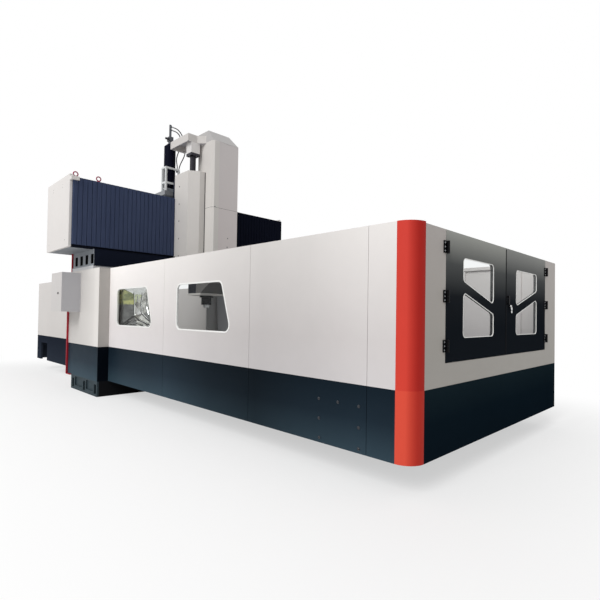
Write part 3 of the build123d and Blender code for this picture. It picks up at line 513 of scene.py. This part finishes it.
# The far bellows' cloth is a darker copy of the near one: a painted shade
SHADED_FAR_BELLOWS = cloth("shaded_far_bellows_cloth", (6, 9, 20), (14, 18, 34))
BOTTLE = paint("bottle_navy", ((14, 15, 28), (20, 21, 36)), 0.32, (4.0, 5.0), 0.12, 0.02)
CAGE = paint("cage_white", ((220, 222, 222), (228, 230, 230)), 0.4, gloss=0.2)
PANE = pane_glass("pane", (249, 250, 250), 0.01)
DOOR_PANE = pane_glass("door_pane", (250, 251, 251), 0.0)
# Dark strips that paint the shade in the gap beside the headstock
GAP_SHADE = plastic("gap_shade", (70, 68, 68), 0.6, 0.05)
KEY_SILVER = plastic("key_silver", (226, 227, 226), 0.3, 0.5)

FINISH = (
    (WHITE, "wall_panels"),
    (COVER, "column_covers"),
    (CABINET, "cabinet cabinet_door"),
    (REAR, "rear_wall"),
    (CAP, "beam_caps"),
    (SHADED_BEIGE, "door_jambs door_sill"),
    (SLATE, "wall_skirts column_skirts splash_tray"),
    (REAR_SLATE, "rear_skirt"),
    (SHADED_END_SLATE, "end_skirt"),
    (RED_UP, "corner_post_upper"),
    (RED_LOW, "corner_post_lower"),
    (RED_BACK, "back_panels"),
    (EYE_RED, "lifting_eyes"),
    (DOOR_LEFT, "left_door"),
    (DOOR_RIGHT, "right_door"),
    (BLACK, "door_handle door_hinges_fixed left_door_hinges right_door_hinges"),
    (PANE, "wall_glass"),
    (DOOR_PANE, "left_door_glass right_door_glass"),
    (COLUMN_CAST, "columns"),
    (BEAM_CAST, "crossbeam"),
    (CAST, "bottle_bracket"),
    (BED_CAST, "bed"),
    (STEEL, "table beam_rails spindle_nose"),
    (HEAD, "saddle_covers head_bottom_plate"),
    (TOWER_LOW, "tower_lower"),
    (TOWER_TOP, "tower_upper"),
    (ARM, "arms"),
    (NAVY, "ram beam_apron"),
    (SADDLE, "saddle"),
    (SPINDLE_NAVY, "spindle_housing"),
    (DARK_STEEL, "valve_head hose_fitting"),
    (ROD, "balance_rods"),
    (CAGE, "bottle_cage"),
    (BOTTLE, "accumulator_bottle"),
    (BELLOWS, "left_bellows"),
    (SHADED_FAR_BELLOWS, "right_bellows"),
    (RUBBER, "upper_hose lower_hose"),
)
for finish, names in FINISH:
    for name in names.split():
        NODES[name].data.materials.clear()
        NODES[name].data.materials.append(finish)


# Meshes


SHARP = math.radians(35)
MOST_EDGE = 0.4
ARC_STEPS = 7
SCREW_SIDES = 12
SLEEVE_SIDES = 18
ROUND_SIDES = 20

# A cap screw with a hexagon socket, as shares of its height and of its radius
SCREW_PROFILE = ((0, 1.5), (0.25, 1.5), (0.25, 1.0), (0.85, 1.0), (1.0, 0.85), (1.0, 0.5),
                 (0.45, 0.45))


def mesh_piece(name, verts, faces, material, body, smooth=False):
    mesh = bpy.data.meshes.new(name)
    mesh.from_pydata([tuple(v) for v in verts], [], faces)
    mesh.update()
    piece = bpy.data.objects.new(name, mesh)
    bpy.context.scene.collection.objects.link(piece)
    mesh.materials.append(material)
    if smooth:
        mesh.shade_smooth()
        mesh.set_sharp_from_angle(angle=SHARP)
    if body:
        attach(piece, body)
    return piece


class Shape:
    """Collects solids for one piece."""

    def __init__(self):
        self.verts = []
        self.faces = []

    def add(self, verts, faces):
        start = len(self.verts)
        self.verts += [Vector(v) for v in verts]
        self.faces += [[start + i for i in face] for face in faces]

    def hull(self, points):
        """The smallest solid without hollows that holds the points."""
        work = bmesh.new()
        for point in points:
            work.verts.new(point)
        bmesh.ops.convex_hull(work, input=work.verts)
        bmesh.ops.delete(work, geom=[v for v in work.verts if not v.link_faces], context="VERTS")
        work.verts.index_update()
        self.add([v.co for v in work.verts], [[v.index for v in f.verts] for f in work.faces])
        work.free()

    def box(self, low, high, edge):
        """A box with its edges cut back by edge."""
        low, high = (Vector(map(f, low, high)) for f in (min, max))
        edge = min(edge, *[(h - l) * MOST_EDGE for l, h in zip(low, high)])
        verts = []
        for axis in range(3):
            for corner in range(8):
                point = []
                for k in range(3):
                    side = corner >> k & 1
                    value = high[k] if side else low[k]
                    if k != axis:
                        value += -edge if side else edge
                    point.append(value)
                verts.append(point)
        self.hull(verts)

    def turned(self, start, axis, rows, sides):
        """A closed turned solid: rows of distance along the axis and radius."""
        start, axis = Vector(start), Vector(axis).normalized()
        across = axis.orthogonal().normalized()
        other = axis.cross(across)
        verts = []
        for distance, radius in rows:
            for n in range(sides):
                a = 2 * math.pi * n / sides
                verts.append(start + axis * distance
                             + (across * math.cos(a) + other * math.sin(a)) * radius)
        faces = []
        for row in range(len(rows) - 1):
            for n in range(sides):
                m = (n + 1) % sides
                faces.append([row * sides + n, row * sides + m,
                              (row + 1) * sides + m, (row + 1) * sides + n])
        faces.append(list(reversed(range(sides))))
        faces.append([(len(rows) - 1) * sides + n for n in range(sides)])
        self.add(verts, faces)

    def screw(self, at, axis, radius, height):
        rows = [(height * rise, radius * wide) for rise, wide in SCREW_PROFILE]
        self.turned(at, axis, rows, SCREW_SIDES)

    def piece(self, name, material, body, smooth=False):
        return mesh_piece(name, self.verts, self.faces, material, body, smooth)


def rounded_outline(points, radius):
    """A polygon's outline with its corners turned into arcs."""
    out = []
    count = len(points)
    for n in range(count):
        corner = Vector(points[n])
        before = (Vector(points[n - 1]) - corner).normalized()
        after = (Vector(points[(n + 1) % count]) - corner).normalized()
        half = before.angle(after) / 2
        run = radius / math.tan(half)
        first, last = corner + before * run, corner + after * run
        centre = corner + (before + after).normalized() * radius / math.sin(half)
        for k in range(ARC_STEPS + 1):
            arm = (first - centre).lerp(last - centre, k / ARC_STEPS).normalized() * radius
            out.append(centre + arm)
    return out


def grown(outline, distance):
    """The outline moved outwards by a distance."""
    area = sum(a.x * b.y - b.x * a.y for a, b in zip(outline, outline[1:] + outline[:1]))
    turn = 1 if area > 0 else -1
    out = []
    count = len(outline)
    for n in range(count):
        run = (outline[(n + 1) % count] - outline[n - 1]).normalized()
        out.append(outline[n] + Vector((run.y, -run.x)) * distance * turn)
    return out


def ring(shape, outline, profile, place):
    """A closed ring along an outline; the profile is pairs of outward and upward."""
    rows = [[place(p, up) for p in grown(outline, out)] for out, up in profile]
    count = len(outline)
    verts = [v for row in rows for v in row]
    faces = []
    for r in range(len(rows)):
        s = (r + 1) % len(rows)
        for n in range(count):
            m = (n + 1) % count
            faces.append([r * count + n, r * count + m, s * count + m, s * count + n])
    shape.add(verts, faces)


# The two hoses from the accumulator's pipe to the fitting on its cage


UPPER_HOSE = (
    (-1.275, -0.296, 5.368), (-1.275, -0.235, 5.368), (-1.225, -0.165, 5.335),
    (-1.171, -0.095, 5.215), (-1.171, -0.025, 5.030), (-1.171, -0.015, 4.830),
    (-1.171, -0.165, 4.530), (-1.171, -0.165, 4.440),
)
LOWER_HOSE = (
    (-1.275, -0.296, 5.300), (-1.275, -0.220, 5.300), (-1.232, -0.165, 5.262),
    (-1.175, -0.138, 5.170), (-1.171, -0.130, 5.000), (-1.171, -0.180, 4.840),
    (-1.171, -0.232, 4.670), (-1.171, -0.200, 4.530), (-1.171, -0.200, 4.440),
)
HOSE_RADIUS = 0.010
SLEEVE_PROFILE = ((0, 0.017), (0.010, 0.017), (0.010, 0.0135), (0.014, 0.0145), (0.034, 0.0145),
                  (0.038, 0.0125), (0.040, 0.0105))


def hose(name, route):
    """A hose on one smooth curve, with a crimped steel sleeve at each end."""
    curve = bpy.data.curves.new(name, "CURVE")
    curve.dimensions = "3D"
    curve.bevel_depth = HOSE_RADIUS
    curve.bevel_resolution = 5
    curve.resolution_u = 10
    curve.materials.append(RUBBER)
    spline = curve.splines.new("NURBS")
    spline.points.add(len(route) - 1)
    for point, place in zip(spline.points, route):
        point.co = (*place, 1.0)
    spline.order_u = 3
    spline.use_endpoint_u = True
    piece = bpy.data.objects.new(name, curve)
    bpy.context.scene.collection.objects.link(piece)
    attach(piece, "saddle_unit")
    sleeves = Shape()
    for end, next_point in ((route[0], route[1]), (route[-1], route[-2])):
        run = Vector(next_point) - Vector(end)
        sleeves.turned(end, run, SLEEVE_PROFILE, SLEEVE_SIDES)
    sleeve = sleeves.piece(name + "_sleeves", STEEL, "saddle_unit", smooth=True)
    return piece


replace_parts(hose("upper_hose_line", UPPER_HOSE), "upper_hose")
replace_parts(hose("lower_hose_line", LOWER_HOSE), "lower_hose")


# Guard windows: white edging strips round each opening


# Each window's left edge, and its right edge at the head and at the sill
WINDOWS = ((-0.170, 0.904, 1.091), (1.797, 2.835, 3.038))
SILL_Z, HEAD_Z, WINDOW_CORNER = 1.223, 1.826, 0.085

# Outward from the opening's edge, and up from the wall's face
WINDOW_PROFILE = ((-0.006, -0.018), (-0.006, 0.003), (0.004, 0.005), (0.013, 0.003),
                  (0.013, -0.001), (0.002, -0.018))

strips = Shape()
for left, right_head, right_sill in WINDOWS:
    outline = rounded_outline(((left, SILL_Z), (right_sill, SILL_Z), (right_head, HEAD_Z),
                               (left, HEAD_Z)), WINDOW_CORNER)
    for side in SIDES:
        ring(strips, outline, WINDOW_PROFILE,
             lambda p, up, side=side: Vector((p.x, side * (WALL_Y + up), p.y)))
strips.piece("window_strips", TRIM, "frame", smooth=True)


# Panel flanges behind the seams, stiffeners and a top rail inside the walls


# Both ends along X, the low end, and how far each strip stands out from the wall
FLANGES = [(x - 0.030, x + 0.030, SKIRT_LOW + 0.02, 0.022) for x in SEAMS]
FLANGES += [(x - 0.020, x + 0.020, WALL_TOP - 0.34, 0.018) for x in STIFFENERS]
FLANGES += [(-0.48, 5.24, WALL_TOP - 0.05, 0.030)]
FLANGE_EDGE = 0.002

flanges = Shape()
for start, end, low, depth in FLANGES:
    for side in SIDES:
        inner = side * (WALL_Y - PANEL)
        flanges.box((start, inner, low), (end, inner - side * depth, WALL_TOP), FLANGE_EDGE)
flanges.piece("wall_flanges", WHITE, "frame")


# Skirt screws on both long walls


SKIRT_SCREWS = ((4.438, 0.663), (4.442, 0.483), (4.449, 0.305), (4.668, 0.662),
                (4.901, 0.660), (4.902, 0.479), (4.904, 0.300))
screws = Shape()
for x, z in SKIRT_SCREWS:
    for side in SIDES:
        screws.screw((x, side * WALL_Y, z), (0, side, 0), 0.010, 0.008)
screws.piece("skirt_screws", DARK_STEEL, "frame", smooth=True)


# Front doors: pane strips, screws of the hinges, meeting strip, key


OUTWARD = (1, 0, 0)
DOORWAY_MIDDLE = 0.042
PANES = (
    ((-0.965, 1.767), (-0.276, 1.574), (-0.276, 1.974), (-0.965, 1.974)),
    ((-0.965, 1.252), (-0.276, 1.252), (-0.276, 1.472), (-0.965, 1.665)),
)
PANE_CORNER = 0.042
PANE_PROFILE = ((-0.003, -0.006), (-0.003, 0.0012), (0.0035, 0.0012), (0.0035, -0.001))

# Each door's name, its body, its hinge axis, and which way its leaf runs from there
DOORS = (("left", "left_door_leaf", -1.3025, 1), ("right", "right_door_leaf", 1.3865, -1))
HINGE_LEVELS = (1.188, 1.6115, 2.035)
HINGE_X = FRONT_X + 0.010
HINGE_SCREW_STEP = 0.034

for name, body, _, inward in DOORS:
    strips = Shape()
    for points in PANES:
        if inward < 0:
            points = [(2 * DOORWAY_MIDDLE - y, z) for y, z in reversed(points)]
        outline = rounded_outline(points, PANE_CORNER)
        ring(strips, outline, PANE_PROFILE, lambda p, up: Vector((FRONT_X + up, p.x, p.y)))
    strips.piece(name + "_pane_strips", TRIM, body, smooth=True)

for name, body, axis_y, inward in DOORS:
    moving, fixed = Shape(), Shape()
    for level in HINGE_LEVELS:
        for step in (-1, 0, 1):
            z = level + step * HINGE_SCREW_STEP
            for shape, side in ((moving, inward), (fixed, -inward)):
                shape.screw((HINGE_X, axis_y + side * HINGE_SCREW_STEP, z), OUTWARD, 0.0055, 0.004)
    moving.piece(name + "_hinge_screws", STEEL, body, smooth=True)
    fixed.piece(name + "_hinge_fixed_screws", STEEL, "frame", smooth=True)

meeting = Shape()
meeting.box((FRONT_X - 0.001, 0.0535, 1.055), (FRONT_X + 0.004, 0.0665, 2.172), 0.0015)
meeting.piece("meeting_strip", RUBBER, "right_door_leaf")

LOCK = Vector((FRONT_X + 0.016, 0.1445, 1.565))
LOCK_PROFILE = ((0, 0.011), (0.002, 0.014), (0.005, 0.014), (0.007, 0.010), (0.007, 0.004),
                (0.005, 0.003))

# The tags that hang from the key: their places from the lock and their radii
KEY_TAGS = (((0.014, 0, -0.027), 0.019), ((0.010, 0.012, -0.060), 0.015))
TAG_HALF = 0.0015

lock = Shape()
lock.turned(LOCK, OUTWARD, LOCK_PROFILE, ROUND_SIDES)
lock.box(LOCK + Vector((0.004, -0.0015, -0.012)), LOCK + Vector((0.015, 0.0015, 0.012)), 0.001)
for shift, radius in KEY_TAGS:
    lock.turned(LOCK + Vector(shift), OUTWARD, ((-TAG_HALF, radius), (TAG_HALF, radius)),
                ROUND_SIDES)
lock.piece("door_lock_key", KEY_SILVER, "right_door_leaf", smooth=True)


# Bellows: pleated cloth between the beam's ends and the saddle


FOLD_OUT, FOLD_IN = -0.9005, -0.9400
FOLD_ROUND = 0.003
FOLD_PITCH = 0.080
FOLD_LEVELS = (2.600, 2.900, 3.200, 3.500, 3.768)
CLOTH_THICK = 0.002

# One fold, as shares of its width and places along X
FOLD = ((0.0, FOLD_IN), (0.02, FOLD_IN), (0.055, FOLD_OUT - FOLD_ROUND), (0.12, FOLD_OUT),
        (0.88, FOLD_OUT), (0.945, FOLD_OUT - FOLD_ROUND), (0.98, FOLD_IN))


def pleats(name, start, end, material):
    """A pleated curtain along Y, with folds that stand out towards +X."""
    count = round(abs(end - start) / FOLD_PITCH)
    pitch = (end - start) / count
    line = []
    for n in range(count):
        for share, x in FOLD:
            line.append((x, start + pitch * (n + share)))
    line.append((FOLD_IN, end))
    verts = [(x, y, z) for x, y in line for z in FOLD_LEVELS]
    size = len(FOLD_LEVELS)
    faces = []
    for n in range(len(line) - 1):
        for k in range(size - 1):
            a, b = n * size + k, (n + 1) * size + k
            faces.append([a, b, b + 1, a + 1])
    piece = mesh_piece(name, verts, faces, material, None)
    thick = piece.modifiers.new("thick", "SOLIDIFY")
    thick.thickness = CLOTH_THICK
    thick.offset = 0.0
    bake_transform(piece)
    return piece


left = pleats("left_pleats", -2.309, -0.384,
              BELLOWS)
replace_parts(left, "left_bellows")
right = pleats("right_pleats", 2.545, 0.794,
               SHADED_FAR_BELLOWS)
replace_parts(right, "right_bellows")


# Joint line and screws of the covers, and dark strips of painted shade beside the headstock


# The tower from above, and the dark line round it between its two covers
TOWER = ((-0.559, -0.0725), (-0.073, -0.0725), (-0.031, -0.0305), (-0.031, 0.0775),
         (-0.035, 0.0775), (-0.035, 0.5325), (-0.559, 0.5325))
JOINT_Z, JOINT_HEIGHT = 3.518, 0.004
JOINT_PROUD, JOINT_DEEP = 0.0006, 0.002

joint = Shape()
for start, end in zip(TOWER, TOWER[1:]):
    a, b = Vector(start), Vector(end)
    run = (b - a).normalized()
    out = Vector((run.y, -run.x))
    corners = [a + out * JOINT_PROUD, b + out * JOINT_PROUD, b - out * JOINT_DEEP,
               a - out * JOINT_DEEP]
    joint.hull([(*c, JOINT_Z + dz) for c in corners for dz in (0, JOINT_HEIGHT)])
joint.piece("tower_joint", RUBBER, "head")

COVER_SCREWS = [(-0.735, z) for z in (3.974, 3.624, 3.283, 2.932, 2.589)]
covers = Shape()
for x, z in COVER_SCREWS:
    for y, side in zip(COVER_SIDES, SIDES):
        covers.screw((x, y, z), (0, side, 0), 0.009, 0.006)
covers.piece("cover_screws", DARK_STEEL, "saddle_unit", smooth=True)

# Dark strips on the balance-cylinder covers' edges beside the headstock: a painted shade for the
# shadowed gap there
GAP_SHADE_YS = ((-0.0815, -0.0775), (0.5375, 0.5415))
gap_shades = Shape()
for low_y, high_y in GAP_SHADE_YS:
    gap_shades.box((-0.290, low_y, 2.60), (-0.275, high_y, 4.23), 0.0005)
gap_shades.piece("cover_gap_shades", GAP_SHADE, "saddle_unit")

TOWER_SCREWS = ((-0.031, -0.010, 3.530), (-0.035, 0.307, 2.947), (-0.035, 0.297, 2.772))
tower = Shape()
for place in TOWER_SCREWS:
    tower.screw(place, OUTWARD, 0.008, 0.005)
tower.piece("tower_screws", DARK_STEEL, "head", smooth=True)

CAP_SCREWS = ((-1.846, 3.696), (-1.846, 3.648), (-1.320, 3.703), (-1.320, 3.649),
              (-1.152, 2.693), (-2.050, 2.693))
caps = Shape()
for x, z in CAP_SCREWS:
    for y, side in zip(CAP_SIDES, SIDES):
        caps.screw((x, y, z), (0, side, 0), 0.010, 0.006)
caps.piece("cap_screws", BLACK, "frame", smooth=True)


# The junction cabinet's rear flange and lock


# The flange's four strips: both ends along X, then low and high
CABINET_STRIPS = ((-1.977, -1.361, 1.427, 1.441), (-1.977, -1.361, 2.147, 2.161),
                  (-1.977, -1.965, 1.441, 2.147), (-1.373, -1.361, 1.441, 2.147))
CABINET_REAR = (-2.003, -1.993)
CABINET_LOCK = (-1.563, -2.314, 1.771)
CABINET_LOCK_PROFILE = ((0, 0.020), (0.003, 0.022), (0.006, 0.020), (0.006, 0.008),
                        (0.012, 0.006))

flange = Shape()
for start, end, low, high in CABINET_STRIPS:
    flange.box((start, CABINET_REAR[0], low), (end, CABINET_REAR[1], high), 0.001)
flange.piece("cabinet_flange", CABINET, "frame")

cabinet = Shape()
cabinet.turned(CABINET_LOCK, (0, -1, 0), CABINET_LOCK_PROFILE, ROUND_SIDES)
cabinet.box((-1.585, -2.326, 1.766), (-1.541, -2.320, 1.776), 0.001)
cabinet.piece("cabinet_lock", BLACK, "cabinet_lid", smooth=True)


# Bolts of the balance rods' flanges, screws of the collars that the rods pass through


BOLT_STEP = 0.068
COLLAR_RADIUS = 0.070
COLLAR_SCREWS = 6

bolts = Shape()
for rod_y in ROD_YS:
    for across in SIDES:
        for along in SIDES:
            bolts.screw((ROD_X + across * BOLT_STEP, rod_y + along * BOLT_STEP, FLANGE_Z),
                        (0, 0, -1), 0.011, 0.012)
bolts.piece("flange_bolts", BLACK, "head", smooth=True)

collars = Shape()
for rod_y in ROD_YS:
    for n in range(COLLAR_SCREWS):
        turn = 2 * math.pi * (n + 0.5) / COLLAR_SCREWS
        place = (ROD_X + COLLAR_RADIUS * math.cos(turn),
                 rod_y + COLLAR_RADIUS * math.sin(turn), COLLAR_Z)
        collars.screw(place, (0, 0, 1), 0.004, 0.003)
collars.piece("collar_screws", DARK_STEEL, "saddle_unit", smooth=True)


# Creased stainless sheet behind the first window, on both walls


SHEET_RIM = 0.004
SHEET_GAP = 0.001
SHEET_BACK = 0.004
SHEET_POINTS = {
    "low_left": (-0.21, 1.18, SHEET_RIM), "low_right": (1.13, 1.18, SHEET_RIM),
    "top_right": (1.13, 1.87, SHEET_RIM), "top_left": (-0.21, 1.87, SHEET_RIM),
    "left": (-0.21, 1.57, 0.012), "top": (0.42, 1.87, 0.020), "right": (1.13, 1.50, 0.015),
    "low": (0.42, 1.18, 0.020), "heart": (0.264, 1.39, 0.060), "mid": (0.272, 1.57, 0.055),
    "brow": (0.296, 1.73, 0.040), "chin": (0.402, 1.29, 0.030), "core": (0.603, 1.42, 0.036),
    "core_top": (0.626, 1.72, 0.034), "crown_left": (0.045, 1.80, 0.016),
    "crown_right": (0.768, 1.80, 0.014),
}
# Each facet's colour is a painted reflection; the last material is the sheet's back and rim
SHEET_FACES = (
    (OLIVE_SHEET, ("left", "mid", "brow"), ("left", "brow", "crown_left"),
     ("left", "crown_left", "top_left")),
    (DARK_SHEET, ("low_left", "heart", "left"), ("left", "heart", "mid"),
     ("low_left", "chin", "heart"), ("low_left", "low", "chin"), ("core", "low_right", "right")),
    (GREEN_SHEET, ("mid", "core_top", "brow"), ("top_left", "crown_left", "brow")),
    (WHITE_SHEET, ("top_left", "brow", "top"), ("brow", "core_top", "top"),
     ("core_top", "crown_right", "top"), ("crown_right", "top_right", "top"),
     ("mid", "heart", "core")),
    (PALE_SHEET, ("mid", "core", "core_top"), ("core_top", "core", "right"),
     ("core_top", "right", "crown_right"), ("crown_right", "right", "top_right"),
     ("heart", "chin", "core"), ("chin", "low_right", "core"), ("chin", "low", "low_right")),
    (SHEET_REAR,),
)
CREASES = (
    ((0.29, 1.76), (0.275, 1.57), (0.26, 1.39), (0.00, 1.28), (-0.16, 1.20)),
    ((0.26, 1.39), (0.60, 1.30), (0.98, 1.24)),
    ((-0.02, 1.20), (0.14, 1.29), (0.40, 1.325), (0.71, 1.29), (0.93, 1.20)),
    ((0.12, 1.19), (0.25, 1.245), (0.43, 1.265), (0.66, 1.24), (0.79, 1.19)),
    ((0.60, 1.75), (0.555, 1.58), (0.585, 1.42), (0.81, 1.33), (0.98, 1.29)),
    ((0.78, 1.70), (0.75, 1.52), (0.83, 1.40)),
    ((0.42, 1.70), (0.39, 1.60)),
)
CREASE_STEPS = 5
CREASE_SIDES = 6

# The painted shade line in each crease and the painted highlight line beside it: their shift along
# X, radius and material
CREASE_LINES = ((0.0, 0.009, CREASE_SHADE), (0.020, 0.007, WHITE_SHEET))


def sheet_depth(x, z):
    """How far the pushed-in sheet lies behind the wall at a place on it."""
    for _, *triangles in SHEET_FACES:
        for triangle in triangles:
            (x0, z0, d0), (x1, z1, d1), (x2, z2, d2) = (SHEET_POINTS[name] for name in triangle)
            area = (x1 - x0) * (z2 - z0) - (x2 - x0) * (z1 - z0)
            second = ((x - x0) * (z2 - z0) - (x2 - x0) * (z - z0)) / area
            third = ((x1 - x0) * (z - z0) - (x - x0) * (z1 - z0)) / area
            if min(second, third, 1 - second - third) > -1e-6:
                return d0 + second * (d1 - d0) + third * (d2 - d0)
    return SHEET_RIM


def creased_sheet(side):
    """A sheet behind the first window, pushed in and creased towards its corners."""
    hand = "left" if side < 0 else "right"
    names = list(SHEET_POINTS)
    wall = WALL_Y - PANEL - SHEET_GAP
    verts = [(x, side * (wall - depth), z) for x, z, depth in SHEET_POINTS.values()]
    faces, slots = [], []
    for slot, (_, *triangles) in enumerate(SHEET_FACES):
        for triangle in triangles:
            face = [names.index(name) for name in triangle]
            faces.append(face if side < 0 else face[::-1])
            slots.append(slot)
    piece = mesh_piece("creased_sheet_" + hand, verts, faces, SHEET_FACES[0][0], "frame")
    for material, *_ in SHEET_FACES[1:]:
        piece.data.materials.append(material)
    for polygon, slot in zip(piece.data.polygons, slots):
        polygon.material_index = slot
    soft = piece.modifiers.new("fine", "SUBSURF")
    soft.subdivision_type = "SIMPLE"
    soft.levels = soft.render_levels = 2
    thick = piece.modifiers.new("thick", "SOLIDIFY")
    thick.thickness = SHEET_BACK
    thick.offset = -1.0
    thick.material_offset = thick.material_offset_rim = len(SHEET_FACES) - 1
    for number, (shift, radius, finish) in enumerate(CREASE_LINES):
        lines = Shape()
        for path in CREASES:
            for start, end in zip(path, path[1:]):
                spots = []
                for step in range(CREASE_STEPS + 1):
                    x, z = (a + (b - a) * step / CREASE_STEPS for a, b in zip(start, end))
                    x, z = x + shift, z + shift / 2
                    spots.append(Vector((x, side * (wall - sheet_depth(x, z)), z)))
                for spot, after in zip(spots, spots[1:]):
                    run = after - spot
                    lines.turned(spot, run, ((0, radius), (run.length, radius)), CREASE_SIDES)
        lines.piece("sheet_creases_%d_%s" % (number, hand), finish, "frame")


for side in SIDES:
    creased_sheet(side)


# Stage and light


# The floor fades to white over a stretch that begins beside the machine
FLOOR_HALF = 60
FLOOR_Z = -0.001
MACHINE_HALF = (5.4, 1.9, 0.0)
FADE_FROM, FADE_TO = 0.1, 3.0
FADE_LEAST = 0.55

WORLD_LEVEL = 0.5
SUN_ENERGY = 1.75
SUN_ANGLE = math.radians(35)
SUN_FROM = (0.15, -0.75, 0.64)


def floor_material():
    """A pale floor that fades to white away from the machine and keeps its shadow."""
    shader = Shader("floor")
    body = shader.add("ShaderNodeBsdfPrincipled", Roughness=0.9)
    body.inputs["Base Color"].default_value = linear((246, 246, 246))
    body.inputs["Specular IOR Level"].default_value = 0.1
    glow = shader.add("ShaderNodeEmission", Strength=1.0)
    reach = shader.place()
    for operation, value in (("ABSOLUTE", None), ("SUBTRACT", MACHINE_HALF),
                             ("MAXIMUM", (0.0, 0.0, 0.0)), ("LENGTH", None)):
        step = shader.add("ShaderNodeVectorMath", operation=operation)
        shader.join(reach, step.inputs[0])
        if value:
            step.inputs[1].default_value = value
        reach = step.outputs["Value" if operation == "LENGTH" else "Vector"]
    far = shader.add("ShaderNodeMapRange", interpolation_type="SMOOTHSTEP")
    far.inputs["From Min"].default_value = FADE_FROM
    far.inputs["From Max"].default_value = FADE_TO
    far.inputs["To Min"].default_value = FADE_LEAST
    shader.join(reach, far.inputs["Value"])
    seen = shader.add("ShaderNodeLightPath").outputs["Is Camera Ray"]
    return shader.blend(shader.both(far.outputs["Result"], seen), body.outputs[0],
                        glow.outputs[0])


CORNERS = ((-1, -1), (1, -1), (1, 1), (-1, 1))
floor = mesh_piece("floor", [(FLOOR_HALF * x, FLOOR_HALF * y, FLOOR_Z) for x, y in CORNERS],
                   [[0, 1, 2, 3]], floor_material(), None)


def light_world(level):
    """An even world that is white where it is seen and lights the machine at a level."""
    world = bpy.data.worlds.new("studio")
    bpy.context.scene.world = world
    world.use_nodes = True
    tree = world.node_tree
    tree.nodes.clear()
    path = tree.nodes.new("ShaderNodeLightPath")
    output = tree.nodes.new("ShaderNodeOutputWorld")
    mixed = tree.nodes.new("ShaderNodeMixShader")
    shades = []
    for strength in (level, 1.0):
        shade = tree.nodes.new("ShaderNodeBackground")
        shade.inputs["Color"].default_value = (1, 1, 1, 1)
        shade.inputs["Strength"].default_value = strength
        shades.append(shade)
    seen = path.outputs["Is Camera Ray"]
    for other in ("Is Glossy Ray", "Is Transmission Ray"):
        either = tree.nodes.new("ShaderNodeMath")
        either.operation = "MAXIMUM"
        tree.links.new(seen, either.inputs[0])
        tree.links.new(path.outputs[other], either.inputs[1])
        seen = either.outputs[0]
    tree.links.new(seen, mixed.inputs[0])
    tree.links.new(shades[0].outputs[0], mixed.inputs[1])
    tree.links.new(shades[1].outputs[0], mixed.inputs[2])
    tree.links.new(mixed.outputs[0], output.inputs[0])


light_world(WORLD_LEVEL)
sun = bpy.data.lights.new("soft_key", "SUN")
sun.energy = SUN_ENERGY
sun.angle = SUN_ANGLE
key = bpy.data.objects.new("soft_key", sun)
bpy.context.scene.collection.objects.link(key)
key.rotation_mode = "QUATERNION"
key.rotation_quaternion = Vector(SUN_FROM).to_track_quat("Z", "Y")
